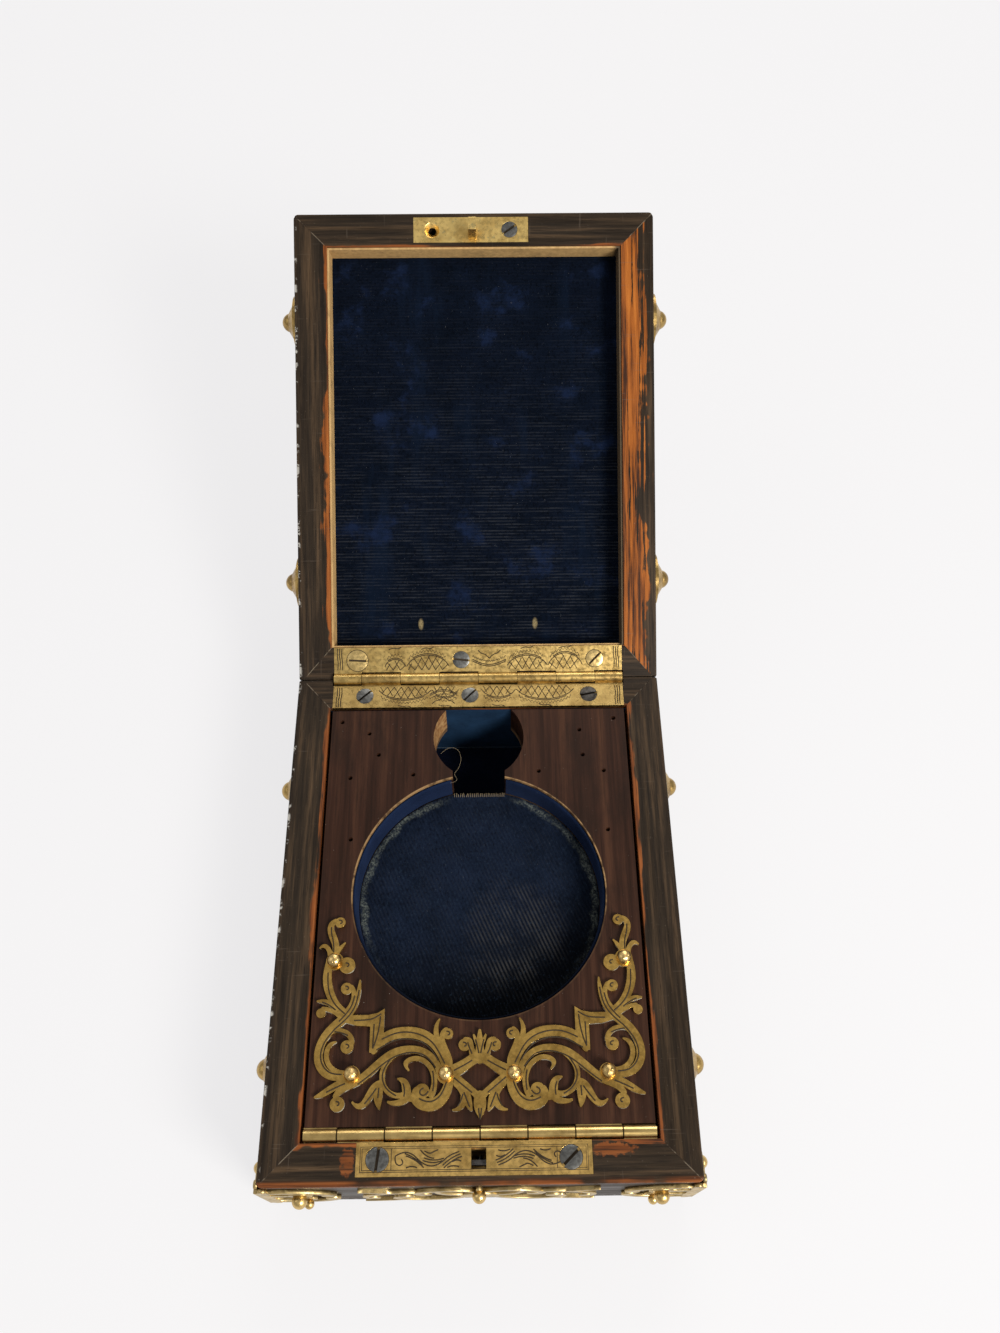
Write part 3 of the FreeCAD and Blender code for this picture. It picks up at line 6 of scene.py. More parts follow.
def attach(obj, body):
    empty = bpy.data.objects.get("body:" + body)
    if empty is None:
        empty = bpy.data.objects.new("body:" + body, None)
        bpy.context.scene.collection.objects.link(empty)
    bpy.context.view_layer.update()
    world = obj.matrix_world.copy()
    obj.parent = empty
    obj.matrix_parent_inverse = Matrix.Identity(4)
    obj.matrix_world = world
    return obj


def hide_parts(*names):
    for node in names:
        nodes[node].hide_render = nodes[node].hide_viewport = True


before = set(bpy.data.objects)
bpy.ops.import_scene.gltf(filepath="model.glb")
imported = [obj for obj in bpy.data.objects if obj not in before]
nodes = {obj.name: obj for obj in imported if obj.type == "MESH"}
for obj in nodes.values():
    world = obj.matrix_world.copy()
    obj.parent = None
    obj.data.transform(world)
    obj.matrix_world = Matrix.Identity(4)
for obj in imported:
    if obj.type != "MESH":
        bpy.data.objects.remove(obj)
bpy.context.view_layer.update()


# Box of the case: four mitred walls on a bottom board, all of dark rosewood under an old polish.
# The walls are glued at the mitres; handling has rounded the edges and rubbed the inner ones red.

MM = 0.001
INNER_HALF = 36.4
INNER_FRONT = -50.0
INNER_BACK = 49.0
SIDE_WALL = 8.1
FRONT_WALL = 8.1
BACK_WALL = 9.1
HINGE_LINE = Vector((0, 56.9, 27.15))
OPENED = math.radians(149)
SHARP = math.radians(40)
AT_MITRE = 0.05
MITRE_EASE = 0.22
RAIL_EASE = 0.35
OPENING = (
    Matrix.Translation(HINGE_LINE)
    @ Matrix.Rotation(-OPENED, 4, "X")
    @ Matrix.Translation(-HINGE_LINE)
)


def alone(piece):
    """Make one piece the only selected one."""
    bpy.ops.object.select_all(action="DESELECT")
    piece.select_set(True)
    bpy.context.view_layer.objects.active = piece


def placed(name, data):
    """A new object in the scene, at the origin."""
    piece = bpy.data.objects.new(name, data)
    bpy.context.scene.collection.objects.link(piece)
    return piece


def applied(piece, kind, **settings):
    """Work a piece with one modifier and keep the result."""
    alone(piece)
    work = piece.modifiers.new(kind.lower(), kind)
    for setting, value in settings.items():
        setattr(work, setting, value)
    bpy.ops.object.modifier_apply(modifier=work.name)


def smoothed(piece, degrees):
    """Round the shading of a piece over every edge flatter than this."""
    alone(piece)
    bpy.ops.object.shade_smooth_by_angle(angle=math.radians(degrees))


def carried(node, name):
    """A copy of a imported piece, its facets joined up again, to be finished further."""
    piece = placed(name, nodes[node].data.copy())
    piece.data.materials.clear()
    alone(piece)
    bpy.ops.mesh.customdata_custom_splitnormals_clear()
    bpy.ops.object.mode_set(mode="EDIT")
    bpy.ops.mesh.select_all(action="SELECT")
    bpy.ops.mesh.remove_doubles(threshold=1e-6)
    bpy.ops.mesh.dissolve_limited(angle_limit=math.radians(0.4))
    bpy.ops.object.mode_set(mode="OBJECT")
    return piece


def off_mitre(point):
    """How far a point of a wall, in millimetres with the lid shut, lies from its corner's mitre."""
    across = (abs(point.x) - INNER_HALF) / SIDE_WALL
    along = (point.y - INNER_BACK) / BACK_WALL
    if point.y < 0:
        along = (INNER_FRONT - point.y) / FRONT_WALL
    return abs(across - along) * 6


def eased(piece, width, steps=2, lid=False, mitred=False):
    """Take the sharp edges off a piece; the edges of a mitre are eased least."""
    mesh = piece.data
    back = OPENING.inverted()
    marks = mesh.attributes.new("bevel_weight_edge", "FLOAT", "EDGE")
    sides = {}
    for face in mesh.polygons:
        for key in face.edge_keys:
            sides.setdefault(key, []).append(face.normal)
    for edge in mesh.edges:
        facing = sides.get(edge.key, [])
        if len(facing) != 2 or facing[0].angle(facing[1], 0) < SHARP:
            continue
        ends = [mesh.vertices[i].co / MM for i in edge.vertices]
        if lid:
            ends = [back @ end for end in ends]
        joint = mitred and max(off_mitre(end) for end in ends) < AT_MITRE
        marks.data[edge.index].value = MITRE_EASE if joint else 1.0
    applied(piece, "BEVEL", limit_method="WEIGHT", width=width * MM, segments=steps)
    smoothed(piece, 50)
    applied(piece, "WEIGHTED_NORMAL", keep_sharp=True)
    return piece


def finished(piece, body, slot, material, *replaced):
    """Give a piece its finish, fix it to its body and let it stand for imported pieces."""
    if material:
        piece.data.materials.clear()
        piece.data.materials.append(material)
    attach(piece, body)
    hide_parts(*replaced)


def dressed(node, name, ease, body, slot, material, **ways):
    """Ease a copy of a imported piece, finish it and let it stand for that piece."""
    finished(eased(carried(node, name), ease, **ways), body, slot, material, node)


class Finish:
    """A material built up from coordinates in millimetres, with the lid taken as shut."""

    def __init__(self, name, lid=False):
        self.material = bpy.data.materials.new(name)
        self.material.use_nodes = True
        self.tree = self.material.node_tree
        self.shader = self.tree.nodes["Principled BSDF"]
        place = self.tree.nodes.new("ShaderNodeTexCoord").outputs["Object"]
        mapped = self.make("ShaderNodeMapping", {"Vector": place, "Scale": (1000, 1000, 1000)})
        self.place = mapped.outputs[0]
        if lid:
            shift = HINGE_LINE - Matrix.Rotation(OPENED, 3, "X") @ HINGE_LINE
            swung = {"Vector": self.place, "Rotation": (OPENED, 0, 0), "Location": shift}
            self.place = self.make("ShaderNodeMapping", swung).outputs[0]
        split = self.make("ShaderNodeSeparateXYZ", {0: self.place})
        self.x, self.y, self.z = split.outputs

    def feed(self, socket, value):
        """Lead an output to a socket, or set a plain value there."""
        if isinstance(value, bpy.types.NodeSocket):
            self.tree.links.new(value, socket)
        else:
            socket.default_value = (*value, 1) if socket.type == "RGBA" else value

    def make(self, kind, sockets, **settings):
        made = self.tree.nodes.new(kind)
        for setting, value in settings.items():
            setattr(made, setting, value)
        for socket, value in sockets.items():
            self.feed(made.inputs[socket], value)
        return made

    def sum(self, operation, *values):
        sockets = {i: value for i, value in enumerate(values)}
        return self.make("ShaderNodeMath", sockets, operation=operation).outputs[0]

    def product(self, first, *others):
        for other in others:
            first = self.sum("MULTIPLY", first, other)
        return first

    def off(self, value, level):
        """How far a value lies from a level, on either side."""
        return self.sum("ABSOLUTE", self.sum("SUBTRACT", value, level))

    def near(self, x, y, wide=1.0, deep=1.0):
        """Squared distance from a spot, as a share of a width and a depth."""
        across = self.sum("DIVIDE", self.sum("SUBTRACT", self.x, x), wide)
        along = self.sum("DIVIDE", self.sum("SUBTRACT", self.y, y), deep)
        return self.sum("ADD", self.sum("POWER", across, 2.0), self.sum("POWER", along, 2.0))

    def cloud(self, scale, detail=4, rough=0.55, stretch=(1, 1, 1), turn=0.0):
        spread = {"Vector": self.place, "Scale": stretch, "Rotation": (0, 0, turn)}
        spot = self.make("ShaderNodeMapping", spread).outputs[0]
        sockets = {"Vector": spot, "Scale": scale, "Detail": detail, "Roughness": rough}
        return self.make("ShaderNodeTexNoise", sockets).outputs[0]

    def fade(self, value, low, high, start=0.0, end=1.0):
        """Rise smoothly from one level to another while a value goes from low to high."""
        sockets = {"Value": value, "From Min": low, "From Max": high, "To Min": start}
        sockets["To Max"] = end
        return self.make("ShaderNodeMapRange", sockets, interpolation_type="SMOOTHSTEP").outputs[0]

    def tones(self, value, *stops):
        ramp = self.make("ShaderNodeValToRGB", {0: value})
        points = ramp.color_ramp.elements
        while len(points) < len(stops):
            points.new(0.5)
        for point, (at, colour) in zip(points, stops):
            point.position = at
            point.color = (*colour, 1)
        return ramp.outputs[0]

    def lay(self, above, share, *fading):
        """Lay a colour over those before it, by a share or by a value that fades to one."""
        share = self.fade(share, *fading) if fading else share
        mixed = self.make("ShaderNodeMix", {0: share, 6: self.colour, 7: above}, data_type="RGBA")
        self.colour = mixed.outputs[2]
        self.set(Base_Color=self.colour)

    def relief(self, height, strength, depth):
        sockets = {"Height": height, "Strength": strength, "Distance": depth * MM}
        bump = self.make("ShaderNodeBump", sockets)
        self.tree.links.new(bump.outputs[0], self.shader.inputs["Normal"])

    def set(self, **values):
        for name, value in values.items():
            self.feed(self.shader.inputs[name.replace("_", " ")], value)
        return self.material


RUBBED_SPOTS = ((26.6, -51.8, 5.0, 1.3), (-26.6, -53.6, 1.5, 2.6))


def rosewood(name, along, lid=False, rubbed=0.5, band=0.25, flecked=False, vivid=1.0):
    """Rosewood of a wall or rail: streaked, worn red at the inner edge, pale along the mitre."""
    wood = Finish(name, lid)
    stretch = (0.035, 1, 1) if along == "x" else (1, 0.035, 1)
    streak = wood.cloud(0.9, 8, 0.62, stretch)
    pores = wood.cloud(5.0, 3, 0.6, stretch)
    patch = wood.cloud(0.09, 3, 0.6)
    wood.colour = wood.tones(
        streak, (0.28, (0.007, 0.005, 0.0035)), (0.5, (0.025, 0.0165, 0.010)),
        (0.76, (0.085, 0.052, 0.028)),
    )
    wood.lay((0.005, 0.003, 0.002), pores, 0.52, 0.68, 0, 0.6)
    aside = wood.sum("SUBTRACT", wood.sum("ABSOLUTE", wood.x), INNER_HALF)
    ahead = wood.sum("SUBTRACT", INNER_FRONT, wood.y)
    behind = wood.sum("SUBTRACT", wood.y, INNER_BACK)
    if band:
        inside = aside if along == "y" else wood.sum("MAXIMUM", ahead, behind)
        reach = wood.fade(patch, 0.38, 0.68, band, band + 5.0 * rubbed)
        reach = wood.product(reach, wood.fade(streak, 0.34, 0.60, 0.3, 1.3))
        red = wood.tones(
            wood.cloud(1.3, 6, 0.6, stretch), (0.38, (0.040, 0.014, 0.007)),
            (0.52, (0.19 * vivid, 0.054 * vivid, 0.013)),
            (0.72, (0.33 * vivid, 0.108 * vivid, 0.028)),
        )
        wood.lay(red, wood.sum("SUBTRACT", reach, inside), 0.0, 0.6, 0, 0.9)
        if not lid:
            lip = wood.product(
                wood.fade(wood.y, -57.6, -56.8, 1, 0), wood.fade(wood.z, 24.5, 26.4),
                wood.fade(patch, 0.36, 0.56, 0.05, 0.8),
            )
            wood.lay(red, lip)
            for spot in RUBBED_SPOTS:
                ragged = wood.fade(wood.cloud(0.9, 5, 0.65), 0.3, 0.7, -0.6, 0.6)
                wood.lay(red, wood.sum("ADD", wood.near(*spot), ragged), 0.5, 1.1, 0.7, 0)
    front_share = wood.sum("DIVIDE", ahead, FRONT_WALL)
    share = wood.sum("MAXIMUM", front_share, wood.sum("DIVIDE", behind, BACK_WALL))
    mitre = wood.off(share, wood.sum("DIVIDE", aside, SIDE_WALL))
    seam = wood.fade(mitre, 0.006, 0.022, 0.6, 0)
    wood.lay((0.26, 0.21, 0.15), wood.product(seam, wood.fade(wood.cloud(0.5), 0.42, 0.6)))
    scratch = wood.cloud(2.4, 2, 0.5, (1, 0.05, 1) if along == "x" else (0.05, 1, 1), 0.5)
    wood.lay((0.14, 0.11, 0.085), scratch, 0.69, 0.75, 0, 0.22)
    dust = wood.cloud(4.5, 2, 0.5)
    wood.lay((0.30, 0.26, 0.21), dust, 0.73, 0.80, 0, 0.55)
    if flecked:
        # pale flecks along the left outer edge where the box and lid meet
        pale_flecks = wood.product(
            wood.fade(wood.x, -44.3, -43.6, 1, 0),
            wood.fade(wood.off(wood.z, 27.1), 0.7, 1.9, 1, 0),
            wood.fade(wood.cloud(0.3, 6, 0.7), 0.54, 0.58, 0, 0.85),
        )
        wood.lay((0.50, 0.48, 0.44), pale_flecks)
    wood.relief(wood.sum("ADD", streak, wood.sum("MULTIPLY", pores, 0.5)), 0.25, 0.12)
    rough = wood.fade(wood.cloud(0.5, 6, 0.6, stretch), 0.3, 0.7, 0.34, 0.62)
    return wood.set(Roughness=rough, Specular_IOR_Level=0.13)


BASE_WALLS = (
    ("base_front_wall", "x", 0.3, 0.25, False),
    ("base_back_wall", "x", 0.1, 0.2, False),
    ("base_left_wall", "y", 0.15, 0.45, True),
    ("base_right_wall", "y", 0.15, 0.45, False),
)
for node, along, rubbed, band, flecked in BASE_WALLS:
    wood = rosewood(node, along, False, rubbed, band, flecked)
    dressed(node, node + "_polished", RAIL_EASE, "base", "rosewood", wood, mitred=True)

bottom_wood = rosewood("bottom_board", "y", False, 0.0, 0.0)
dressed("base_bottom", "base_bottom_board", 0.2, "base", "rosewood", bottom_wood)


# Ledges: two thin boards of plain wood, glued upright along the side walls for the flap to rest on.
# They carry no polish, and age has browned them.

def plain_wood(name, pale, brown, lid=False, painted_shade=0.0):
    wood = Finish(name, lid)
    streak = wood.cloud(1.2, 6, 0.6, (1, 0.06, 1))
    wood.colour = wood.tones(streak, (0.3, brown), (0.7, pale))
    stain = wood.cloud(0.25, 4)
    wood.lay(tuple(value * 0.45 for value in brown), stain, 0.5, 0.7, 0, 0.5)
    # painted shade: the wood beyond x 34.5 mm, the right-hand recess strip of the lid, darkened
    # almost to black
    wood.lay((0.02, 0.012, 0.006), wood.x, 34.5, 35.6, 0, painted_shade)
    wood.relief(streak, 0.3, 0.1)
    return wood.set(Roughness=0.72)


ledge_wood = plain_wood("ledge_wood", (0.28, 0.17, 0.08), (0.14, 0.075, 0.032))
dressed("base_ledges", "flap_ledges", 0.15, "base", "plain_wood", ledge_wood)


# Floor lining: a sheet of blue velvet cut to the compartment and glued down on the bottom board.
# Its pile is pressed unevenly, and its edges turn up a little against the walls.

def velvet(name, deep, bright, lid=False, scale=0.5):
    """Cotton velvet: a dark ground with a blue bloom where the pile leans to the light."""
    cloth = Finish(name, lid)
    lean = cloth.cloud(scale * 0.22, 5, 0.62)
    pile = cloth.cloud(9.0, 2, 0.6)
    cloth.colour = cloth.tones(lean, (0.34, deep), (0.72, bright))
    cloth.lay(tuple(value * 1.8 for value in bright), pile, 0.35, 0.75, 0, 0.45)
    lint = cloth.cloud(2.8, 3, 0.7, (1, 0.45, 1), 0.6)
    cloth.lay((0.20, 0.21, 0.22), lint, 0.69, 0.75, 0, 0.4)
    cloth.relief(pile, 0.5, 0.12)
    cloth.set(Roughness=0.95, Specular_IOR_Level=0.03, Sheen_Weight=0.04, Sheen_Roughness=0.5)
    cloth.set(Sheen_Tint=(0.25, 0.36, 0.75))
    return cloth


def added(operator, **settings):
    """A new primitive, alone in the selection."""
    bpy.ops.object.select_all(action="DESELECT")
    operator(**settings)
    return bpy.context.object


def laid_grid(name, low, high, across, along):
    """A flat grid between two corners, in millimetres, ready to be shaped."""
    grid = {"x_subdivisions": across, "y_subdivisions": along, "size": 1}
    piece = added(bpy.ops.mesh.primitive_grid_add, **grid)
    piece.name = name
    wide, deep = high[0] - low[0], high[1] - low[1]
    for vertex in piece.data.vertices:
        vertex.co.x = (low[0] + (vertex.co.x + 0.5) * wide) * MM
        vertex.co.y = (low[1] + (vertex.co.y + 0.5) * deep) * MM
    return piece


def thickened(piece, thick, side=-1):
    applied(piece, "SOLIDIFY", thickness=thick * MM, offset=side)
    smoothed(piece, 60)


LINING_HALF = 36.3
CLOTH_FRONT = -49.9
CLOTH_BACK = 48.6
CLOTH_TOP = 3.62
VELVET_THICK = 0.35
floor_cloth = laid_grid(
    "floor_velvet", (-LINING_HALF, CLOTH_FRONT), (LINING_HALF, CLOTH_BACK), 60, 80
)
for vertex in floor_cloth.data.vertices:
    spot = vertex.co / MM
    wall = min(LINING_HALF - abs(spot.x), spot.y - CLOTH_FRONT, CLOTH_BACK - spot.y)
    ripple = 0.12 * noise.noise(spot * 0.12)
    vertex.co.z = (CLOTH_TOP + ripple + 0.25 * math.exp(-wall / 1.2)) * MM
thickened(floor_cloth, VELVET_THICK)
# dark navy velvet, its tones lowered further as painted shade, since it lies under the flap
floor_velvet = velvet("floor_velvet", (0.002, 0.003, 0.007), (0.004, 0.007, 0.018))
finished(floor_cloth, "base", "velvet", floor_velvet.material, "base_floor_lining")


# Back lining: a strip of blue silk pasted inside the back wall, seen through the slot of the flap.
# Its lower edge is turned under and shows as a pale line; damp has cockled it slightly.

SILK_LOW = 3.9
SILK_TOP = 25.7
SILK_FACE = 48.82
HEM = 4.8
back_silk = laid_grid("back_silk", (-LINING_HALF, SILK_LOW), (LINING_HALF, SILK_TOP), 90, 30)
for vertex in back_silk.data.vertices:
    across, up = vertex.co.x / MM, vertex.co.y / MM
    cockle = 0.05 * noise.noise(Vector((across * 0.18, up * 0.4, 3.0)))
    vertex.co = Vector((across, SILK_FACE + cockle, up)) * MM
thickened(back_silk, 0.1, 1)
silk = Finish("blue_silk")
weft = silk.cloud(6.0, 2, 0.5, (0.2, 1, 3))
silk.colour = silk.tones(
    silk.cloud(0.15, 4), (0.35, (0.006, 0.018, 0.042)), (0.7, (0.012, 0.036, 0.082))
)
silk.lay((0.02, 0.05, 0.10), weft, 0.4, 0.7, 0, 0.35)
silk.lay((0.22, 0.26, 0.27), silk.off(silk.z, HEM), 0.1, 0.28, 0.4, 0)
blue_silk = silk.set(Roughness=0.7, Specular_IOR_Level=0.1)
finished(back_silk, "base", "velvet", blue_silk, "base_back_lining")


# Butt hinge of the lid, lower leaf: cast brass with alternate knuckles, let into the back wall.
# Its face is engraved by hand with hatched lobes, a wave and a wriggled line; three screws hold it.

def brass(
    name, clean, dull, rough=0.34, lid=False, spots=0.0, grain=0.1,
    residue=False, drawn=1.0, joints=0,
):
    """Old lacquered brass: clean where it is handled, browned in patches, finely scratched."""
    metal = Finish(name, lid)
    patch = metal.cloud(0.22, 5, 0.62)
    fine = metal.cloud(1.1, 4, 0.6, (drawn, 1, 1))
    metal.colour = metal.tones(patch, (0.34, dull), (0.58, clean))
    metal.lay(tuple(value * 0.6 for value in dull), fine, 0.5, 0.75, 0, 0.3)
    if spots:
        green = metal.cloud(0.7, 3)
        metal.lay((0.16, 0.26, 0.20), green, 0.6, 0.7, 0, spots)
    if joints:
        count = metal.sum("DIVIDE", metal.x, joints)
        apart = metal.off(count, metal.sum("ROUND", count))
        metal.lay((0.02, 0.012, 0.005), apart, 0.010, 0.022, 0.9, 0)
    roughness = metal.fade(fine, 0.3, 0.75, rough - 0.07, rough + 0.2)
    metal.relief(metal.sum("ADD", fine, patch), grain, 0.06)
    metal.set(Metallic=1.0)
    if residue:
        tilt = metal.tree.nodes.new("ShaderNodeTexCoord").outputs["Normal"]
        level = metal.sum("ABSOLUTE", metal.make("ShaderNodeSeparateXYZ", {0: tilt}).outputs[2])
        steep = metal.fade(level, 0.2, 0.6, 1, 0)
        crust = metal.product(steep, metal.fade(metal.cloud(0.5, 4), 0.46, 0.6, 0, 0.85))
        metal.lay((0.50, 0.52, 0.46), crust)
        metal.set(Metallic=metal.sum("SUBTRACT", 1.0, crust))
    return metal.set(Roughness=roughness)


def engraved(name, lines, wide, height, sharp=False):
    """Graver's cuts on a face: thin flattened ribbons of shadow along smooth or broken lines."""
    curve = bpy.data.curves.new(name, "CURVE")
    curve.dimensions = "3D"
    curve.bevel_depth = wide / 2 * MM
    curve.bevel_resolution = 0
    curve.use_fill_caps = True
    curve.resolution_u = 4
    for points in lines:
        spline = curve.splines.new("POLY" if sharp else "NURBS")
        spline.points.add(len(points) - 1)
        for point, (x, y) in zip(spline.points, points):
            point.co = (x * MM, y * MM, 0, 1)
        if not sharp:
            spline.order_u = 3
            spline.use_endpoint_u = True
    alone(placed(name, curve))
    bpy.ops.object.convert(target="MESH")
    piece = bpy.context.object
    piece.data.transform(Matrix.Translation((0, 0, height * MM)) @ Matrix.Diagonal((1, 1, 0.25, 1)))
    return piece


def united(name, *pieces):
    alone(pieces[0])
    for piece in pieces[1:]:
        piece.select_set(True)
    bpy.ops.object.join()
    joined = bpy.context.object
    joined.name = name
    return joined


LEAF_EASE = 0.06
LEAF_EDGE = 55.2
LEAF_END = 34.9
WAVE_FOOT = 1.4
HATCH_FOOT = 0.5
HATCH_STEP = 1.7
ZIG_STEP = 0.4
SCREW_CLEAR = 2.5


def hinge_cuts(lobes, troughs, screws):
    """Lines of a leaf, smooth ones and broken ones; v runs from the knuckles to the far edge."""
    smooth, broken = [], []

    def on(x, v):
        return (x, LEAF_EDGE - v)

    def wave(x):
        for left, right, height in lobes:
            if left <= x <= right:
                arch = max(0.0, math.sin(math.pi * (x - left) / (right - left)))
                return WAVE_FOOT + height * arch ** 0.6
        return WAVE_FOOT

    def spread(left, right, count):
        return [left + (right - left) * i / count for i in range(count + 1)]

    def dipped(left, right, count):
        dip = [2.6 - 1.3 * math.sin(math.pi * i / count) for i in range(count + 1)]
        return list(zip(spread(left, right, count), dip))

    def clear(point):
        return all(math.hypot(point[0] - x, point[1] - y) > SCREW_CLEAR for x, y in screws)

    for left, right, height in lobes:
        steps = spread(left, right, 14)
        smooth.append([on(x, wave(x)) for x in steps])
        smooth.append([on(x, wave(x) + 0.35) for x in steps[2:-2]])
        zig = []
        for i in range(int((right - left) / ZIG_STEP)):
            x = left + 0.6 + i * ZIG_STEP
            if x < right - 0.6:
                zig.append(on(x, wave(x) + 0.75 + (0.62 if i % 2 else 0.0)))
        broken.append(zig)
        for lean in (-1, 1):
            start = left + 0.4
            while start < right - 0.4:
                high = wave(start)
                end = start + lean * 0.55 * (high - HATCH_FOOT)
                if left < end < right and wave(end) > HATCH_FOOT + 0.5:
                    broken.append([on(start, HATCH_FOOT), on(end, min(high, wave(end)))])
                start += HATCH_STEP
    for left, right in troughs:
        for rise in (0, 0.4):
            smooth.append([on(x, v + rise) for x, v in dipped(left, right, 10)])
        wriggle = enumerate(dipped(left, right, 30))
        broken.append([on(x, v + 1.1 + 0.3 * (i % 2)) for i, (x, v) in wriggle])
        middle = (left + right) / 2
        for side in (-1, 1):
            sprig = ((0, 3.2), (0.9, 4.3), (2.2, 4.5), (2.8, 5.3))
            smooth.append([on(middle + side * x, v) for x, v in sprig])
    for left, right, height in lobes:
        middle = (left + right) / 2
        curl = ((-1.6, 5.6), (-0.6, 6.1), (0.8, 5.7), (1.5, 6.2))
        smooth.append([on(middle + x, v) for x, v in curl])
    for end in (-LEAF_END, LEAF_END):
        for i in range(3):
            x = end - math.copysign(0.55 * i, end)
            smooth.append([on(x, 0.6), on(x + 0.2, 2.4), on(x - 0.2, 4.2), on(x, 6.0)])
    smooth = [[point for point in line if clear(point)] for line in smooth]
    broken = [line for line in broken if len(line) > 1 and all(clear(point) for point in line)]
    return [line for line in smooth if len(line) > 2], broken


hinge_brass = brass("hinge_brass", (0.58, 0.40, 0.145), (0.34, 0.22, 0.075), 0.3, grain=0.08)
# painted shade: a dark finish laid in the engraved cuts and on the floors of the screws' slots
cut_shade = Finish("painted_cut_shade").set(Base_Color=(0.030, 0.017, 0.005), Metallic=0.3, Roughness=0.65)

dressed("base_hinge_leaf", "base_leaf_dressed", LEAF_EASE, "base", "brass", hinge_brass, steps=1)

BASE_RIM = 27.0
LINE_CUT = 0.23
HATCH_CUT = 0.2
BASE_SCREWS = ((-28.0, 52.25), (-2.08, 52.25), (27.21, 52.25))
BASE_LOBES = ((-24.6, -11.6, 2.5), (-11.4, -4.9, 2.0), (0.8, 9.2, 2.2), (9.4, 23.6, 2.8))
flowing, straight = hinge_cuts(BASE_LOBES, ((-12.0, -5.2),), BASE_SCREWS)
base_cuts = united(
    "base_leaf_engraving",
    engraved("base_leaf_lines", flowing, LINE_CUT, BASE_RIM),
    engraved("base_leaf_hatch", straight, HATCH_CUT, BASE_RIM, True),
)
finished(base_cuts, "base", "brass", cut_shade)


def slotted_screw(spot, radius, top, turn, material, domed=0.12, slot=0.5, length=5.3):
    """A hand-cut wood screw along z: domed head with a slot, countersunk neck, tapering shank."""
    x, y = spot
    reach, level = 0.05, domed
    start = {"vertices": 40, "radius": reach * MM, "fill_type": "NGON"}
    screw = added(bpy.ops.mesh.primitive_circle_add, **start)
    bpy.ops.object.mode_set(mode="EDIT")
    bpy.ops.mesh.select_all(action="SELECT")
    profile = (
        (0.35, domed), (0.7, domed * 0.72), (0.92, domed * 0.3), (1.0, 0.0), (0.97, -0.12),
        (0.46, -1.1), (0.42, -0.6 * length), (0.3, -0.85 * length), (0.03, -length),
    )
    bpy.ops.transform.translate(value=(x * MM, y * MM, (top + domed) * MM))
    for share, drop in profile:
        step = {"value": (0, 0, (drop - level) * MM)}
        bpy.ops.mesh.extrude_region_move(TRANSFORM_OT_translate=step)
        grow = share * radius / reach
        bpy.ops.transform.resize(value=(grow, grow, 1), center_override=(x * MM, y * MM, 0))
        reach, level = share * radius, drop
    bpy.ops.mesh.select_all(action="SELECT")
    bpy.ops.mesh.normals_make_consistent(inside=False)
    bpy.ops.object.mode_set(mode="OBJECT")
    cutter = added(bpy.ops.mesh.primitive_cube_add, size=1)
    size = Matrix.Diagonal((radius * 2.3 * MM, slot * MM, 1.0 * MM, 1))
    where = Matrix.Translation((x * MM, y * MM, (top + 0.12) * MM))
    cutter.data.transform(where @ Matrix.Rotation(turn, 4, "Z") @ size)
    applied(screw, "BOOLEAN", operation="DIFFERENCE", object=cutter)
    bpy.data.objects.remove(cutter)
    smoothed(screw, 35)
    screw.data.materials.clear()
    screw.data.materials.append(material)
    screw.data.materials.append(cut_shade)
    # painted shade: the faces of the slot's floor take the dark finish
    for face in screw.data.polygons:
        drop = face.center.z / MM - top
        away = math.hypot(face.center.x / MM - x, face.center.y / MM - y)
        if -0.5 < drop < -0.01 and away < 0.93 * radius:
            face.material_index = 1
    return screw


def steel(name, clean, dark, rough=0.36):
    metal = Finish(name)
    wear = metal.cloud(1.1, 5, 0.65)
    colour = metal.tones(wear, (0.35, dark), (0.65, clean))
    metal.relief(wear, 0.2, 0.1)
    return metal.set(Base_Color=colour, Metallic=1.0, Roughness=rough)


grey_steel = steel("screw_steel", (0.22, 0.22, 0.21), (0.10, 0.098, 0.092))
dark_steel = steel("dark_steel", (0.12, 0.11, 0.10), (0.04, 0.036, 0.032), 0.45)
screw_brass = brass("screw_brass", (0.85, 0.62, 0.26), (0.58, 0.39, 0.14), 0.25)
BASE_HEAD = 26.98
base_screws = united(
    "base_leaf_screws",
    slotted_screw(BASE_SCREWS[0], 2.1, BASE_HEAD, 0.75, grey_steel),
    slotted_screw(BASE_SCREWS[1], 2.1, BASE_HEAD, 0.8, grey_steel),
    slotted_screw(BASE_SCREWS[2], 2.1, BASE_HEAD, 0.2, dark_steel, 0.16),
)
finished(base_screws, "base", "steel", None, "base_hinge_screws")


def recoloured(material, *names):
    """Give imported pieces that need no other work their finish."""
    for name in names:
        nodes[name].data.materials.clear()
        nodes[name].data.materials.append(material)


recoloured(brass("pin_brass", (0.6, 0.42, 0.16), (0.36, 0.23, 0.08)), "lid_hinge_pin")


# Piano hinge of the flap, fixed half: rolled sheet brass with its leaf pinned to the front wall.
# The barrel runs the whole width; knuckle joints show as thin dark lines across it.

KNUCKLE = 9.65
rolled_brass = brass(
    "rolled_brass", (0.72, 0.51, 0.20), (0.45, 0.30, 0.11), 0.24,
    grain=0.02, drawn=0.05, joints=KNUCKLE,
)
recoloured(rolled_brass, "case_flap_hinge_leaf", "flap_hinge_pin")


# Flap: straight-grained rosewood veneer on a core, cut with the round well and the pendant slot.
# Old panel-pin holes dot its face, and the raw edge of the core shows along the well's rim.

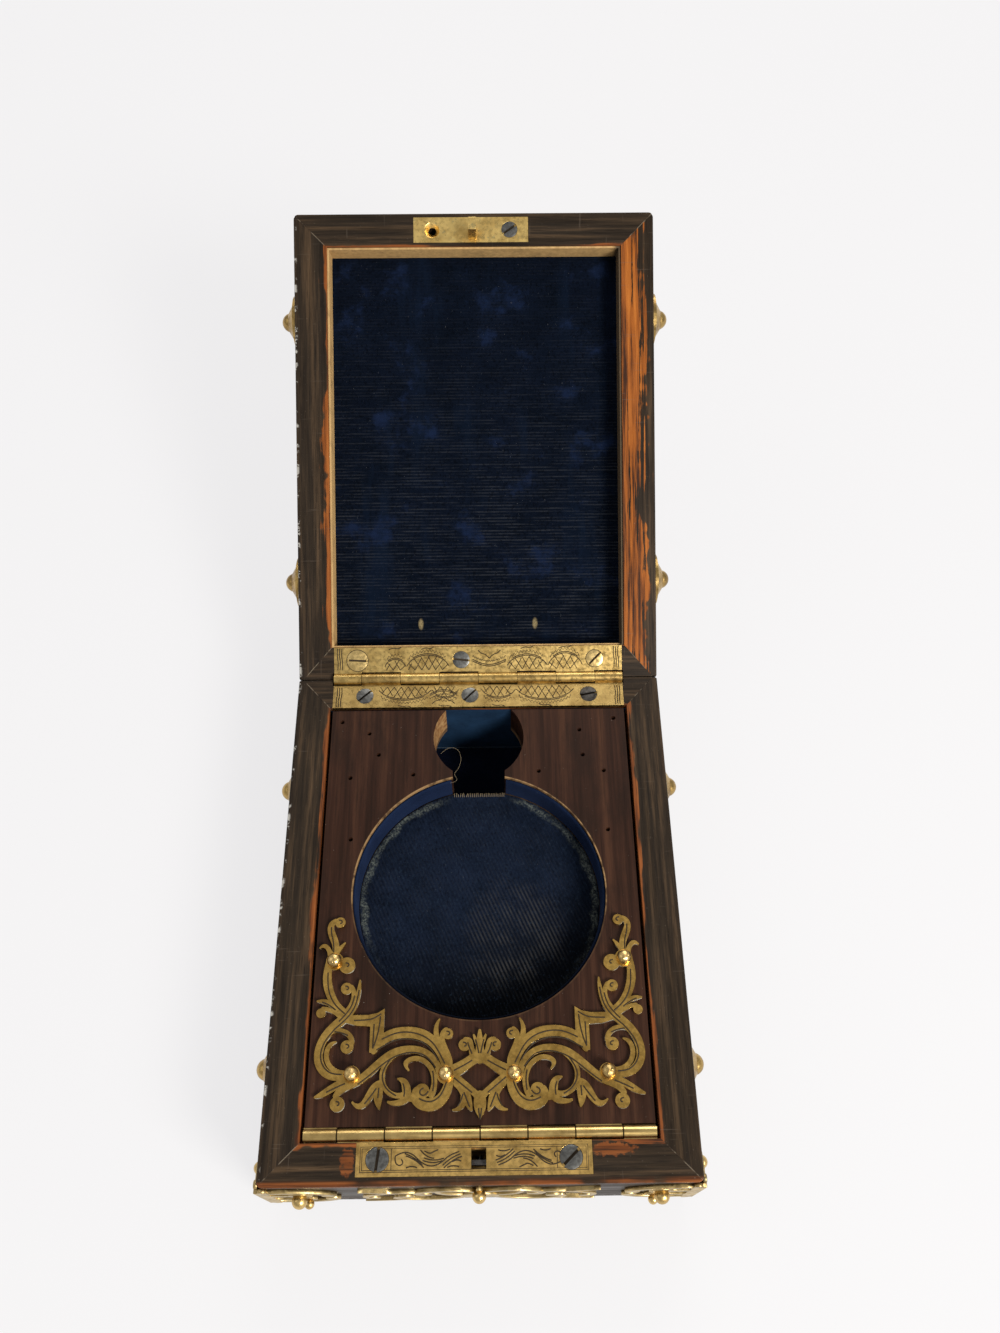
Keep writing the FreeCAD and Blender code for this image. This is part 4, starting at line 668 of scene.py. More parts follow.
WELL = Vector((0.0, 2.4))
WELL_RADIUS = 28.5
DRILL = {"vertices": 14, "radius1": 0.25 * MM, "radius2": 0.62 * MM, "depth": 2.4 * MM}
DRILL_LEVEL = 25.7
PIN_HOLES = (
    (-26.5, 42.2), (-30.5, 30.5), (-15.6, 31.2), (-29.6, 15.0), (24.5, 42.7), (14.3, 31.8),
    (29.8, 31.8), (29.9, 16.8), (25.0, 36.0), (-24.0, 36.5), (33.0, 45.8), (-33.2, 45.4),
)
flap_board = carried("flap_panel", "flap_veneered")
drills = []
for x, y in PIN_HOLES:
    drill = added(bpy.ops.mesh.primitive_cone_add, **DRILL)
    drill.data.transform(Matrix.Translation((x * MM, y * MM, DRILL_LEVEL * MM)))
    drills.append(drill)
drills = united("panel_pin_drill", *drills)
applied(flap_board, "BOOLEAN", operation="DIFFERENCE", object=drills)
bpy.data.objects.remove(drills)
eased(flap_board, 0.1)

veneer = Finish("flap_veneer")
figure = veneer.cloud(0.55, 7, 0.6, (1, 0.03, 1))
fine_grain = veneer.cloud(3.5, 4, 0.6, (1, 0.03, 1))
veneer.colour = veneer.tones(
    figure, (0.30, (0.015, 0.007, 0.0045)), (0.5, (0.033, 0.0135, 0.008)),
    (0.74, (0.066, 0.028, 0.0145)),
)
smoky = veneer.cloud(0.09, 6, 0.7, (1, 0.35, 1))
veneer.lay((0.014, 0.0075, 0.005), smoky, 0.44, 0.64, 0, 0.6)
veneer.lay((0.012, 0.006, 0.004), fine_grain, 0.5, 0.7, 0, 0.55)
radial = veneer.sum("SQRT", veneer.near(0.0, WELL.y))
rim = veneer.product(
    veneer.fade(veneer.off(radial, WELL_RADIUS + 0.05), 0.1, 0.32, 0.8, 0),
    veneer.fade(veneer.z, 25.2, 25.9),
    veneer.fade(veneer.cloud(0.35, 5, 0.65), 0.36, 0.58, 0.15, 1),
    veneer.fade(veneer.y, -8.0, 6.0, 0.12, 1),
)
veneer.lay((0.36, 0.22, 0.10), rim)
slot_side = veneer.product(
    veneer.fade(veneer.z, 26.1, 26.35, 1, 0), veneer.fade(veneer.x, -9.0, -5.5, 1, 0),
    veneer.fade(veneer.x, -13.2, -12.4), veneer.fade(veneer.y, 32.5, 35.0),
)
raw = veneer.tones(veneer.cloud(0.9, 6), (0.35, (0.20, 0.085, 0.030)), (0.65, (0.42, 0.25, 0.11)))
veneer.lay(raw, slot_side)
specks = veneer.cloud(2.2, 2, 0.5)
veneer.lay((0.36, 0.33, 0.28), specks, 0.755, 0.80, 0, 0.7)
veneer.relief(fine_grain, 0.18, 0.08)
sheen = veneer.fade(figure, 0.3, 0.7, 0.36, 0.5)
flap_veneer = veneer.set(Roughness=sheen, Specular_IOR_Level=0.11)
finished(flap_board, "flap", "flap_veneer", flap_veneer, "flap_panel")

backing_wood = plain_wood("backing_wood", (0.16, 0.09, 0.04), (0.07, 0.035, 0.016))
dressed("flap_backing", "flap_backing_board", 0.15, "flap", "plain_wood", backing_wood)


# Well lining: a band of blue velvet over card, bent round the well's wall up to the pendant slot.
# Its pile is fresher than the pad's, because the watch never rubbed it; painted shade darkens it
# towards the front.

NECK_HALF = 6.5
LINING_LOW = 18.7
LINING_TOP = 25.75
LINING_RADIUS = 28.0
ROUND = 200
LEVELS = (
    (27.75, LINING_LOW), (27.72, 20.5), (27.72, 23.0), (27.76, 25.0), (27.86, 25.55),
    (28.1, LINING_TOP), (28.4, LINING_TOP - 0.12),
)
gap = math.asin(NECK_HALF / LINING_RADIUS)
lining = laid_grid("well_velvet", (0, 0), (1, 1), ROUND, len(LEVELS) - 1)
for vertex in lining.data.vertices:
    turn = math.pi / 2 + gap + (vertex.co.x / MM) * (2 * math.pi - 2 * gap)
    radius, height = LEVELS[round(vertex.co.y / MM * (len(LEVELS) - 1))]
    radius -= 0.04 * noise.noise(Vector((40 * math.cos(turn), 40 * math.sin(turn), height)))
    vertex.co = Vector((radius * math.cos(turn), WELL.y + radius * math.sin(turn), height)) * MM
lining.data.flip_normals()
thickened(lining, VELVET_THICK)
cloth = velvet("well_velvet", (0.0035, 0.007, 0.020), (0.009, 0.017, 0.046))
# painted shade: the lining darkens towards the front of the well
cloth.lay((0.002, 0.0025, 0.004), cloth.y, -22.0, 4.0, 0.9, 0)
finished(lining, "flap", "velvet", cloth.material, "well_lining")


# Watch pad: ribbed velvet over a padded disc of card on the well's floor, cut straight at the slot.
# The ribs run at a slant; the watch's rim has worn a pale ring round it; painted shade darkens its
# front.
# Threads fray at the straight edge, and a loose one lies over the slot.

PAD_RADIUS = 27.6
PAD_CHORD = 29.2
PAD_LOW = 17.05
PAD_TOP = 18.55
PAD_STOCK = 2.6
RIB = 0.85
RIB_LEAN = math.radians(-24)
PAD_SPARE = PAD_RADIUS + 1
DIE_DEEP = 6
DIE = {"vertices": 160, "radius": PAD_RADIUS * MM, "depth": DIE_DEEP * MM}
STRAIGHT_CUT = {"plane_co": (0, PAD_CHORD * MM, 0), "plane_no": (0, 1, 0)}
pad = laid_grid("watch_pad_velvet", (-PAD_SPARE, -PAD_SPARE), (PAD_SPARE, PAD_SPARE), 400, 30)
thickened(pad, PAD_STOCK)
for vertex in pad.data.vertices:
    u, v = vertex.co.x / MM, vertex.co.y / MM
    x = u * math.cos(RIB_LEAN) + v * math.sin(RIB_LEAN)
    y = -u * math.sin(RIB_LEAN) + v * math.cos(RIB_LEAN)
    away = min(1.0, math.hypot(x, y) / PAD_RADIUS)
    worn = 0.5 + 0.5 * noise.noise(Vector((x * 0.07, y * 0.07, 1.0)))
    rib = abs(math.sin(math.pi * u / RIB)) ** 0.8 * (0.05 + 0.10 * worn)
    dome = 0.45 * (1 - away ** 2) - 18 * max(0.0, away - 0.93) ** 2
    height = PAD_TOP - PAD_STOCK if vertex.co.z < -MM else PAD_TOP + dome + rib - 0.15
    vertex.co = Vector((x, y + WELL.y, height)) * MM
die = added(bpy.ops.mesh.primitive_cylinder_add, **DIE)
die.data.transform(Matrix.Translation((0, WELL.y * MM, (PAD_LOW + DIE_DEEP / 2) * MM)))
bpy.ops.object.mode_set(mode="EDIT")
bpy.ops.mesh.select_all(action="SELECT")
bpy.ops.mesh.bisect(**STRAIGHT_CUT, use_fill=True, clear_outer=True)
bpy.ops.object.mode_set(mode="OBJECT")
applied(pad, "BOOLEAN", operation="INTERSECT", object=die)
bpy.data.objects.remove(die)
smoothed(pad, 50)

WORN_RING = 26.7
cloth = velvet("pad_velvet", (0.0028, 0.0050, 0.0105), (0.0068, 0.0115, 0.0250))
from_centre = cloth.sum("SQRT", cloth.near(0.0, WELL.y))
wander = cloth.sum("ADD", from_centre, cloth.fade(cloth.cloud(0.3, 4, 0.7), 0.3, 0.7, -0.6, 0.6))
ring = cloth.product(
    cloth.fade(cloth.off(wander, WORN_RING), 0.05, 1.2, 1, 0),
    cloth.fade(cloth.sum("ABSOLUTE", cloth.x), 6.0, 13.0),
    cloth.fade(cloth.cloud(0.12, 3), 0.32, 0.52), cloth.fade(cloth.cloud(2.2, 5, 0.85), 0.4, 0.66),
    cloth.fade(cloth.y, -14.0, 2.0, 0.04, 0.7),
)
# painted shade: the pad darkens towards its front and right-hand side, where the well's front wall
# shades it
painted_shade_slope = cloth.sum("SUBTRACT", cloth.y, cloth.product(cloth.x, 0.35))
cloth.lay((0.0010, 0.0012, 0.0015), painted_shade_slope, -24.0, 8.0, 0.97, 0)
across_ribs = cloth.sum(
    "SUBTRACT", cloth.product(cloth.x, math.cos(RIB_LEAN)),
    cloth.product(cloth.sum("SUBTRACT", cloth.y, WELL.y), math.sin(RIB_LEAN)),
)
crest = cloth.sum("ABSOLUTE", cloth.sum("SINE", cloth.product(across_ribs, math.pi / RIB)))
bald = cloth.product(
    cloth.fade(cloth.near(8.0, -6.0, 13.0, 15.0), 0.05, 1.1, 1, 0.1),
    cloth.fade(cloth.cloud(0.2, 4), 0.34, 0.66, 0.08, 0.5),
)
tufts = cloth.cloud(1.7, 5, 0.85, (1, 0.7, 1))
cloth.lay((0.0012, 0.0020, 0.0038), tufts, 0.36, 0.5, 0.75, 0)
cloth.lay((0.018, 0.030, 0.050), tufts, 0.54, 0.68, 0, 0.6)
cloth.lay((0.058, 0.055, 0.052), cloth.product(cloth.fade(crest, 0.5, 1.0), bald))
cloth.lay((0.21, 0.235, 0.20), ring)
finished(pad, "flap", "velvet", cloth.material, "watch_pad")

THREADS = 26
THREAD_LEVEL = 18.6
thread_lines = []
for i in range(THREADS):
    x = -6.0 + 12.0 * i / (THREADS - 1)
    reach = 0.7 + 0.6 * noise.noise(Vector((i * 0.7, 0, 0)))
    sway = 0.5 * noise.noise(Vector((i * 0.9, 4, 0)))
    thread_lines.append([(x, 28.6), (x + sway * 0.5, 29.1), (x + sway, 29.2 + 0.5 * reach)])
threads = engraved("pad_fray", thread_lines, 0.12, THREAD_LEVEL)
straw = Finish("straw_thread").set(Base_Color=(0.26, 0.20, 0.12), Roughness=0.9)
finished(threads, "flap", "velvet", straw)
LOOSE_LEVEL = 25.7
loose = engraved("loose_thread", [[
    (-9.1, 36.9), (-8.57, 37.47), (-7.14, 38.66), (-4.97, 38.23), (-4.07, 35.61), (-4.75, 32.94),
    (-6.1, 31.5), (-5.0, 30.2), (-5.6, 29.5), (-6.8, 29.2),
]], 0.06, LOOSE_LEVEL)
finished(loose, "flap", "velvet", straw)


# Piano hinge of the flap, moving half: the leaf pinned along the flap's front edge.
# Same rolled sheet brass as the fixed half.

recoloured(rolled_brass, "flap_hinge_leaf")


# Scroll mount of the flap: sheet brass pierced with a fretsaw, filed at its edges and engraved.
# It is laid on the veneer round the well's front and held by six round-headed studs.

MOUNT_FOOT = -47.0
MOUNT_TOP = 27.2
MOUNT_LINES = (
    ((7.3, 12.0), (8.4, 14.2), (9.9, 16.4), (12.2, 17.9), (15.3, 18.6), (18.4, 18.2), (20.6, 17.0)),
    (
        (8.6, 12.6), (9.9, 14.8), (12.2, 16.5), (15.2, 17.2), (18.0, 16.8), (20.0, 15.8),
        (21.6, 14.9),
    ),
    (
        (9.2, 11.2), (10.4, 13.0), (12.4, 14.2), (15.0, 14.4), (18.0, 13.5), (20.5, 11.8),
        (22.9, 9.7), (25.2, 8.1),
    ),
    ((9.8, 10.6), (9.3, 8.6), (9.7, 6.6)),
    ((18.6, 13.0), (20.1, 11.0), (20.2, 8.8), (19.0, 6.7), (17.2, 5.8)),
    ((6.9, 8.4), (7.5, 6.4), (9.0, 4.8), (11.0, 4.4), (12.5, 5.2)),
    ((10.6, 6.6), (11.2, 5.7), (12.3, 5.9), (12.4, 6.9), (11.6, 7.2)),
    ((15.9, 8.2), (15.3, 7.0), (15.6, 5.6)),
    ((21.3, 7.3), (22.3, 5.8), (23.6, 4.3)),
    ((20.8, 7.4), (20.9, 5.4)),
    ((27.8, 8.3), (29.8, 7.5), (31.6, 6.6)),
    (
        (28.6, 10.1), (30.4, 10.1), (32.2, 11.2), (33.2, 13.0), (33.2, 15.0), (32.2, 17.4),
        (30.4, 19.4),
    ),
    ((30.4, 19.4), (28.5, 21.0), (27.0, 22.8), (26.1, 25.0), (25.8, 27.4)),
    ((29.8, 20.8), (28.2, 22.4), (27.0, 24.4), (26.7, 26.2)),
    ((28.6, 22.4), (30.6, 23.9), (32.0, 26.2), (32.7, 28.8), (32.7, 31.2)),
    ((30.6, 23.2), (32.2, 24.5), (33.6, 24.9)),
    ((30.6, 18.7), (29.0, 18.6), (27.7, 17.9)),
    ((31.8, 35.6), (31.8, 37.6), (32.6, 39.8), (32.6, 41.2)),
    ((20.9, 22.3), (22.2, 21.4), (24.0, 21.0), (26.6, 21.0)),
    ((21.0, 21.8), (21.2, 18.0), (22.4, 15.2)),
    ((22.3, 20.2), (22.4, 15.4)),
    ((1.6, 13.9), (2.3, 15.2), (2.5, 16.2)),
    ((1.6, 12.6), (3.2, 11.6), (5.4, 10.6)),
    ((1.6, 6.2), (3.4, 7.6), (5.4, 9.2)),
    ((3.3, 6.3), (2.6, 4.6), (2.1, 3.4)),
    ((3.5, 6.0), (3.8, 4.6), (4.6, 3.6)),
    ((0.3, 3.2), (0.2, 2.0), (0.0, 1.0)),
    ((0.2, 14.0), (0.5, 15.6), (0.9, 16.8)),
)
VOLUTES = (
    (3.2, 15.7), (6.7, 18.0), (29.2, 4.3), (27.8, 15.6), (28.5, 27.7), (28.7, 32.7), (30.7, 42.2),
)
mount_brass = brass("mount_brass", (0.64, 0.40, 0.105), (0.37, 0.215, 0.053), 0.24, residue=True)
dressed("flap_mount", "flap_mount_filed", 0.2, "flap", "brass", mount_brass)
COIL = [(0.62 - 0.08 * i, 0.8 * i + 1.0) for i in range(6)]
coils = [[(x + r * math.cos(t), y + r * math.sin(t)) for r, t in COIL] for x, y in VOLUTES]
cuts = []
for line in (*MOUNT_LINES, *coils):
    for side in (-1, 1):
        cuts.append([(side * x, MOUNT_FOOT + y) for x, y in line])
mount_cuts = engraved("flap_mount_engraving", cuts, 0.3, MOUNT_TOP)
finished(mount_cuts, "flap", "brass", cut_shade)

STUD_SWELL = 0.2
stud_brass = brass("stud_brass", (0.70, 0.50, 0.21), (0.46, 0.31, 0.115), 0.3, grain=0.05)
studs = carried("flap_studs", "flap_round_studs")
for vertex in studs.data.vertices:
    vertex.co += vertex.normal * STUD_SWELL * MM
smoothed(studs, 40)
finished(studs, "flap", "brass", stud_brass, "flap_studs")


# Lock: a brass plate let into the front rim, with the lock's sheet box below it in the wall.
# The plate is engraved with leaf scrolls inside a border line and held by two steel screws.

PLATE_EASE = 0.08
lock_brass = brass("lock_brass", (0.76, 0.50, 0.165), (0.48, 0.30, 0.09), 0.3, grain=0.08)
dressed("lock_plate", "lock_plate_dressed", PLATE_EASE, "base", "brass", lock_brass, steps=1)

LOCK_MIDDLE = -1.2
LOCK_LINE = -53.2
PLATE_SCREWS = ((-20.6, LOCK_LINE), (18.2, LOCK_LINE))
STEM = (
    (-15.8, 0.6), (-14.2, 1.5), (-12.2, 0.9), (-10.6, -0.7), (-8.6, -1.5), (-6.6, -0.8),
    (-5.0, 0.7), (-3.0, 1.3),
)
leaf_lines = [list(STEM)]
for step in (0.45, 0.9):
    for part, side in ((STEM[1:4], -1), (STEM[3:6], 1), (STEM[5:], -1)):
        leaf_lines.append([(x + step * 0.6, y + side * step) for x, y in part])
leaf_lines += [
    [(-15.8, 0.6), (-15.9, -0.6), (-14.9, -1.3), (-14.0, -0.6), (-14.6, 0.0)],
    [(-10.0, 1.5), (-9.0, 0.9), (-8.2, 1.3), (-7.2, 1.7)], [(-10.8, 1.7), (-9.6, 0.2), (-8.0, 0.1)],
    [(-13.6, -1.6), (-12.4, -1.1), (-11.4, -1.6)], [(-5.4, -1.6), (-4.2, -1.1), (-3.0, -1.5)],
    [(-4.4, -0.6), (-3.4, 0.0), (-2.6, -0.5)],
]
plate_cuts = [[(LOCK_MIDDLE + x, LOCK_LINE + y) for x, y in line] for line in leaf_lines]
plate_cuts += [[(LOCK_MIDDLE + 1.8 - x, LOCK_LINE - y) for x, y in line] for line in leaf_lines]
border = []
for wide, deep in ((22.8, 2.35), (22.45, 2.0)):
    corners = ((-wide, -deep), (wide, -deep), (wide, deep), (-wide, deep), (-wide, -deep))
    border.append([(LOCK_MIDDLE + x, LOCK_LINE + y) for x, y in corners])
for x in (LOCK_MIDDLE - 16.6, LOCK_MIDDLE + 16.6):
    border.append([(x, LOCK_LINE - 2.0), (x, LOCK_LINE + 2.0)])
plate_engraving = united(
    "lock_plate_engraving",
    engraved("plate_leaves", plate_cuts, 0.26, BASE_RIM),
    engraved("plate_border", border, 0.15, BASE_RIM, True),
)
finished(plate_engraving, "base", "brass", cut_shade)
plate_screws = united(
    "lock_plate_steel_screws",
    slotted_screw(PLATE_SCREWS[0], 2.3, BASE_RIM, 1.45, grey_steel, 0.15, 0.6),
    slotted_screw(PLATE_SCREWS[1], 2.3, BASE_RIM, 0.75, grey_steel, 0.15, 0.6),
)
finished(plate_screws, "base", "steel", None, "lock_plate_screws")

works_brass = brass("works_brass", (0.48, 0.33, 0.13), (0.26, 0.165, 0.06), 0.4)
works_steel = steel("works_steel", (0.30, 0.30, 0.31), (0.10, 0.10, 0.10))
recoloured(works_brass, "lock_case", "lock_cap", "lock_lever_one", "lock_lever_two")
recoloured(works_steel, "lock_lever_pin", "lock_drill_pin", "lock_bolt")
recoloured(works_steel, "lock_spring_one", "lock_spring_two")


# Outer mounts: pierced sheet brass round the keyhole and wrapped over the two front corners.
# Their edges are filed like the flap mount's, and ball studs hold them.
# The turned bosses on the sides of box and lid are brass too.

outer_brass = brass("outer_mount_brass", (0.58, 0.43, 0.19), (0.32, 0.23, 0.10), 0.38, spots=0.3)
for node in ("front_mount", "corner_mount_left", "corner_mount_right"):
    dressed(node, node + "_filed", 0.12, "base", "brass", outer_brass, steps=1)
boss_brass = brass("boss_brass", (0.52, 0.35, 0.125), (0.24, 0.15, 0.055), 0.3)
recoloured(stud_brass, "front_centre_stud", "corner_studs")
recoloured(boss_brass, "base_bosses_left", "base_bosses_right")
recoloured(boss_brass, "lid_bosses_left", "lid_bosses_right")


# Lid frame: four mitred rails and a top board of the same rosewood, glued up like the box.
# The right-hand rail is worn through to the red wood along most of its inner half.

LID_RAILS = (
    ("lid_front_rail", "x", 0.1, 0.3, False, 1.0),
    ("lid_back_rail", "x", 0.1, 0.2, False, 1.0),
    ("lid_left_rail", "y", 0.35, 0.4, True, 1.2),
    ("lid_right_rail", "y", 0.5, 3.9, False, 1.5),
)
for node, along, rubbed, band, flecked, vivid in LID_RAILS:
    wood = rosewood(node, along, True, rubbed, band, flecked, vivid)
    dressed(node, node + "_polished", RAIL_EASE, "lid", "rosewood", wood, lid=True, mitred=True)
top_wood = rosewood("lid_top", "y", True, 0.0, 0.0)
dressed("lid_top_board", "lid_top_polished", 0.3, "lid", "rosewood", top_wood, lid=True)


# Recess strips: thin strips of tan wood glued round the inside of the rails, down to the velvet.
# They are rubbed and stained, and show as a tan line round the lining; painted shade darkens the
# right-hand strip.

strip_wood = plain_wood("strip_wood", (0.58, 0.37, 0.15), (0.38, 0.23, 0.085), True, 0.88)
dressed("lid_recess_strips", "lid_tan_strips", 0.08, "lid", "plain_wood", strip_wood, steps=1)


# Lid lining: corded velvet drawn over a padded card and pushed into the recess of the lid.
# Fine cords run across it; blue patches of painted sheen lie on the pile, and it is worn to the
# weave at two marks.

CORD = 0.8
PANEL_FRONT = -49.9
PANEL_BACK = 48.9
PANEL_FACE = 33.95
PANEL_THICK = 1.9
PANEL_ROWS = int((PANEL_BACK - PANEL_FRONT) / CORD * 6)


def moved(piece, change):
    """Carry a piece by a change in millimetres, such as OPENING for one made on the shut lid."""
    to_mm = Matrix.Diagonal((1000, 1000, 1000, 1))
    piece.data.transform(Matrix.Diagonal((MM, MM, MM, 1)) @ change @ to_mm)
    return piece


panel = laid_grid(
    "lid_cord_velvet", (-LINING_HALF, PANEL_FRONT), (LINING_HALF, PANEL_BACK), 24, PANEL_ROWS
)
panel.data.flip_normals()
thickened(panel, PANEL_THICK)
for vertex in panel.data.vertices:
    x, y = vertex.co.x / MM, vertex.co.y / MM
    edge = min(LINING_HALF - abs(x), y - PANEL_FRONT, PANEL_BACK - y)
    swell = 0.12 * (1 - math.exp(-edge / 6)) + 0.06 * noise.noise(Vector((x * 0.06, y * 0.06, 2.0)))
    worn = 0.5 + 0.5 * noise.noise(Vector((x * 0.05, y * 0.05, 7.0)))
    cord = abs(math.sin(math.pi * y / CORD)) ** 0.8 * (0.03 + 0.09 * worn)
    vertex.co.z = (PANEL_FACE + PANEL_THICK if vertex.co.z > MM else PANEL_FACE - swell - cord) * MM
smoothed(panel, 60)
moved(panel, OPENING)
cloth = velvet("lid_velvet", (0.0010, 0.0020, 0.0042), (0.0028, 0.0052, 0.0125), True, 0.4)
crest = cloth.sum("ABSOLUTE", cloth.sum("SINE", cloth.product(cloth.y, math.pi / CORD)))
broken = cloth.fade(cloth.cloud(0.8, 4, 0.7, (0.12, 1, 1)), 0.40, 0.66, 0, 0.7)
broken = cloth.product(broken, cloth.fade(cloth.y, -46.0, 30.0, 0.12, 1))
worn_cords = cloth.product(cloth.fade(crest, 0.6, 1.0), broken)
cloth.lay((0.028, 0.031, 0.038), worn_cords)
tufts = cloth.cloud(1.5, 5, 0.85, (1, 0.8, 1))
cloth.lay((0.0006, 0.0010, 0.0020), tufts, 0.38, 0.5, 0.7, 0)
brushed = cloth.cloud(0.11, 4, 0.6, (1, 0.14, 1))
cloth.lay((0.004, 0.009, 0.022), brushed, 0.52, 0.70, 0, 0.5)
# painted sheen: blue patches lighten the pile in places
painted_sheen = cloth.cloud(0.085, 5, 0.65)
cloth.lay((0.007, 0.014, 0.040), painted_sheen, 0.55, 0.70, 0, 0.8)
for side in (-1, 1):
    far = cloth.near(side * 14.5, 43.2, 1 / 1.5, 1 / 0.7)
    weave = cloth.fade(cloth.cloud(2.0, 4), 0.3, 0.6, 0.3, 0.8)
    cloth.lay((0.28, 0.22, 0.11), cloth.product(cloth.fade(far, 0.1, 1.4, 1, 0), weave))
finished(panel, "lid", "velvet", cloth.material, "lid_velvet_panel")


# Butt hinge of the lid, upper leaf: the other half of the hinge, let into the lid's back rail.
# It is engraved to answer the lower leaf; two of its three screws are brass, in fine round seams.

lid_brass = brass(
    "lid_hinge_brass", (0.66, 0.465, 0.17), (0.42, 0.275, 0.09), 0.3, True, grain=0.08
)
dressed("lid_hinge_leaf", "lid_leaf_dressed", LEAF_EASE, "lid", "brass", lid_brass, steps=1)

LID_RIM = 27.3
LID_HEAD = 27.32
LID_SCREWS = ((-30.0, 52.25), (-4.22, 52.25), (29.0, 52.25))
LID_LOBES = ((-23.2, -18.0, 1.8), (-17.8, -7.2, 2.8), (7.2, 17.2, 2.5), (17.4, 26.0, 3.0))
flowing, straight = hinge_cuts(LID_LOBES, ((-1.4, 7.0),), LID_SCREWS)
seams = []
for (x, y), radius in ((LID_SCREWS[0], 2.66), (LID_SCREWS[2], 2.16)):
    turns = [2 * math.pi * i / 48 for i in range(49)]
    seams.append([(x + radius * math.cos(turn), y + radius * math.sin(turn)) for turn in turns])
lid_cuts = united(
    "lid_leaf_engraving",
    engraved("lid_leaf_lines", flowing, LINE_CUT, LID_RIM),
    engraved("lid_leaf_hatch", straight, HATCH_CUT, LID_RIM, True),
    engraved("lid_leaf_seams", seams, HATCH_CUT, LID_RIM, True),
)
finished(moved(lid_cuts, OPENING), "lid", "brass", cut_shade)


def hung(screw):
    """Turn a screw made head up so that it points into the lid, its head level with the rim."""
    moved(screw, Matrix.Translation((0, 0, 2 * LID_RIM)) @ Matrix.Diagonal((1, 1, -1, 1)))
    screw.data.flip_normals()
    return moved(screw, OPENING)


lid_screws = hung(united(
    "lid_leaf_screws",
    slotted_screw(LID_SCREWS[0], 2.6, LID_HEAD + 0.04, 0.05, screw_brass),
    slotted_screw(LID_SCREWS[1], 2.1, LID_HEAD, 0.1, grey_steel),
    slotted_screw(LID_SCREWS[2], 2.1, LID_HEAD, -0.8, screw_brass),
))
finished(lid_screws, "lid", "steel", None, "lid_hinge_screws")


# Link plate: the lock's brass counter-plate, let into the lid's front rail, with the bolt's hook.
# One screw is lost and leaves its countersunk hole, one of steel holds; the brass is spotted green.

link_brass = brass("link_brass", (0.92, 0.66, 0.24), (0.62, 0.41, 0.13), 0.3, True, 0.3, 0.08)
dressed("lid_link_plate", "lid_link_plate_dressed", PLATE_EASE, "lid", "brass", link_brass, steps=1)
dressed("lid_lock_hook", "lid_hook_dressed", 0.12, "lid", "brass", link_brass)
link_screw = hung(slotted_screw((8.85, -54.1), 1.95, LID_HEAD, -0.6, grey_steel))
link_screw.name = "lid_link_steel_screw"
finished(link_screw, "lid", "steel", None, "lid_link_screw")


# Stage: a pale floor that keeps the object's soft shadow, broad studio lights, and the camera.
# The floor's paper shows near white to the eye, and lights the object like plain matt paper.

floor = added(bpy.ops.mesh.primitive_plane_add, size=6)
floor.name = "stage_floor"
floor.data.transform(Matrix.Translation((0, 0, -0.2 * MM)))
paper = bpy.data.materials.new("stage_paper")
paper.use_nodes = True
web = paper.node_tree
web.nodes.clear()
PAPER_NODES = (
    "LightPath", "Math", "Math", "Emission", "BsdfDiffuse", "MixShader", "MixShader",
    "OutputMaterial",
)
path, seen, either, glow, matt, shown, whole, out = [
    web.nodes.new("ShaderNode" + kind) for kind in PAPER_NODES
]
seen.operation = either.operation = "MAXIMUM"
glow.inputs["Color"].default_value = (0.90, 0.89, 0.90, 1)
glow.inputs["Strength"].default_value = 1.0
matt.inputs["Color"].default_value = (0.8, 0.8, 0.8, 1)
shown.inputs[0].default_value = 0.16
PAPER_LINKS = (
    (path.outputs["Is Camera Ray"], seen.inputs[0]),
    (path.outputs["Is Glossy Ray"], seen.inputs[1]),
    (seen.outputs[0], either.inputs[0]), (path.outputs["Is Transmission Ray"], either.inputs[1]),
    (glow.outputs[0], shown.inputs[1]), (matt.outputs[0], shown.inputs[2]),
    (either.outputs[0], whole.inputs[0]), (matt.outputs[0], whole.inputs[1]),
    (shown.outputs[0], whole.inputs[2]), (whole.outputs[0], out.inputs[0]),
)
for source, target in PAPER_LINKS:
    web.links.new(source, target)
floor.data.materials.append(paper)

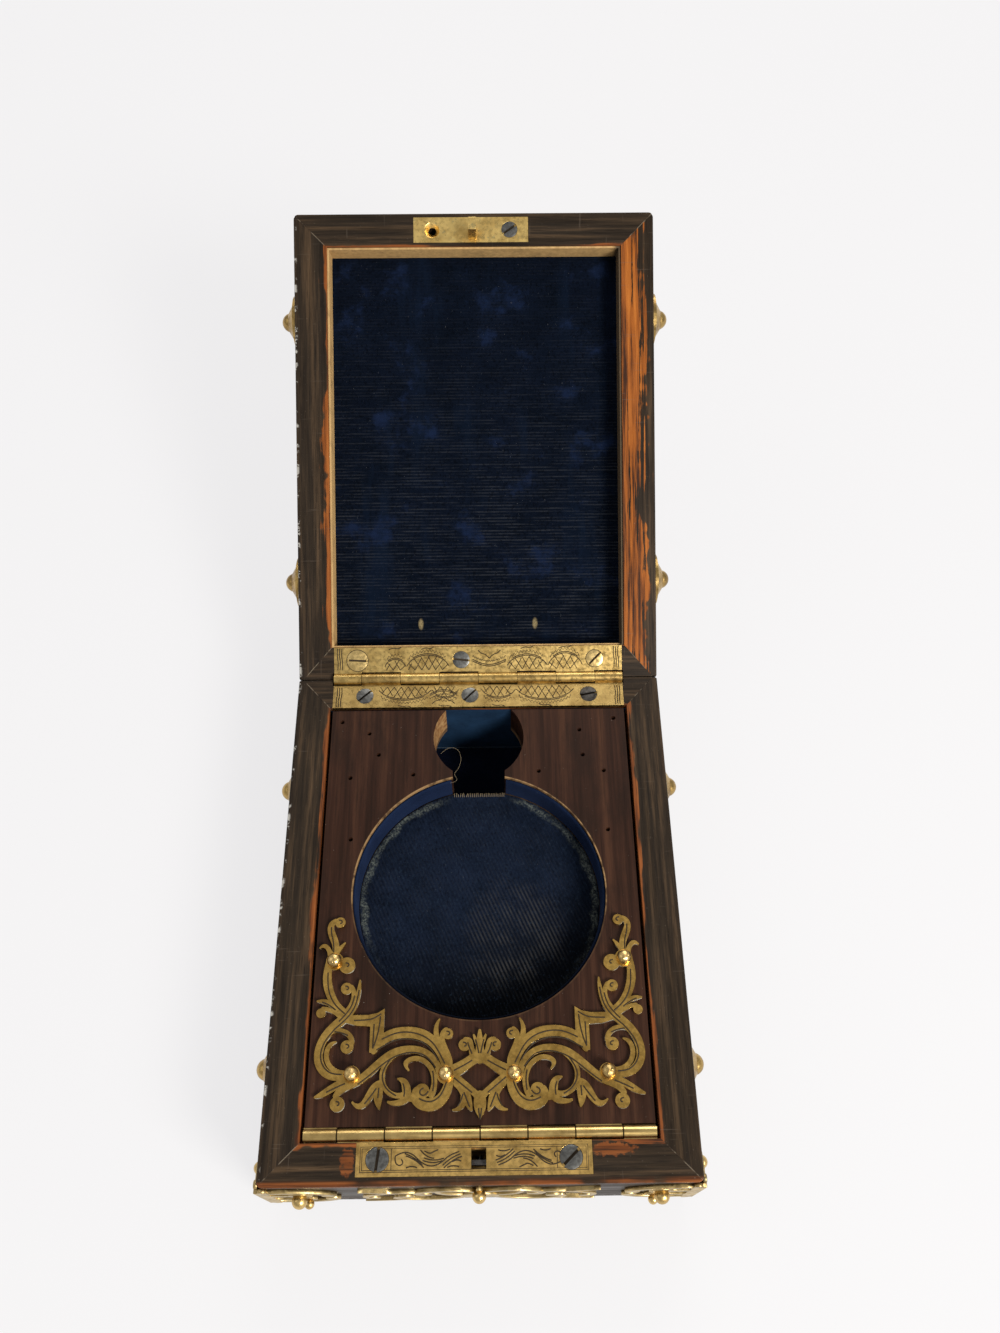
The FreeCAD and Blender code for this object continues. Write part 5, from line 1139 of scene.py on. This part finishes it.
world = bpy.data.worlds.new("studio")
bpy.context.scene.world = world
world.use_nodes = True
sky = world.node_tree
sky.nodes["Background"].inputs[0].default_value = (1.0, 0.99, 0.97, 1)
sky.nodes["Background"].inputs[1].default_value = 0.42
backdrop = sky.nodes.new("ShaderNodeBackground")
backdrop.inputs[0].default_value = (0.89, 0.88, 0.89, 1)
looking = sky.nodes.new("ShaderNodeLightPath")
choice = sky.nodes.new("ShaderNodeMixShader")
sky.links.new(looking.outputs["Is Camera Ray"], choice.inputs[0])
sky.links.new(sky.nodes["Background"].outputs[0], choice.inputs[1])
sky.links.new(backdrop.outputs[0], choice.inputs[2])
sky.links.new(choice.outputs[0], sky.nodes["World Output"].inputs[0])
LIGHTS = (
    ("key", (0.50, -0.50, 0.58), (0, 0.02, 0.02), 0.3, 10.0, (1.0, 0.97, 0.92)),
    ("fill", (-0.65, 0.05, 0.65), (0, 0.03, 0.02), 0.6, 0.8, (0.97, 0.98, 1.0)),
    ("back", (0.15, 0.85, 0.65), (0, 0.05, 0.03), 0.6, 4.0, (1.0, 0.98, 0.95)),
)
for name, spot, aim, wide, power, colour in LIGHTS:
    lamp = bpy.data.lights.new(name, "AREA")
    lamp.size = wide
    lamp.energy = power
    lamp.color = colour
    holder = placed(name, lamp)
    holder.location = spot
    holder.rotation_euler = (Vector(aim) - Vector(spot)).to_track_quat("-Z", "Y").to_euler()

bpy.context.scene.view_settings.view_transform = "Standard"
lens = bpy.data.cameras.new("camera")
lens.lens = 40.39
lens.sensor_width = 36
lens.sensor_fit = "HORIZONTAL"
lens.clip_start = 0.01
camera = placed("camera", lens)
tilt, yaw, roll = math.radians(59.948), math.radians(0.9805), math.radians(0.2567)
ahead = Vector((math.sin(yaw) * math.cos(tilt), math.cos(yaw) * math.cos(tilt), -math.sin(tilt)))
right = ahead.cross(Vector((0, 0, 1))).normalized()
up = right.cross(ahead)
turned_right = right * math.cos(roll) + up * math.sin(roll)
turned_up = up * math.cos(roll) - right * math.sin(roll)
facing = Matrix((turned_right, turned_up, -ahead)).transposed().to_4x4()
camera.matrix_world = Matrix.Translation(Vector((3.04, -80.48, 270.34)) * MM) @ facing
bpy.context.scene.camera = camera
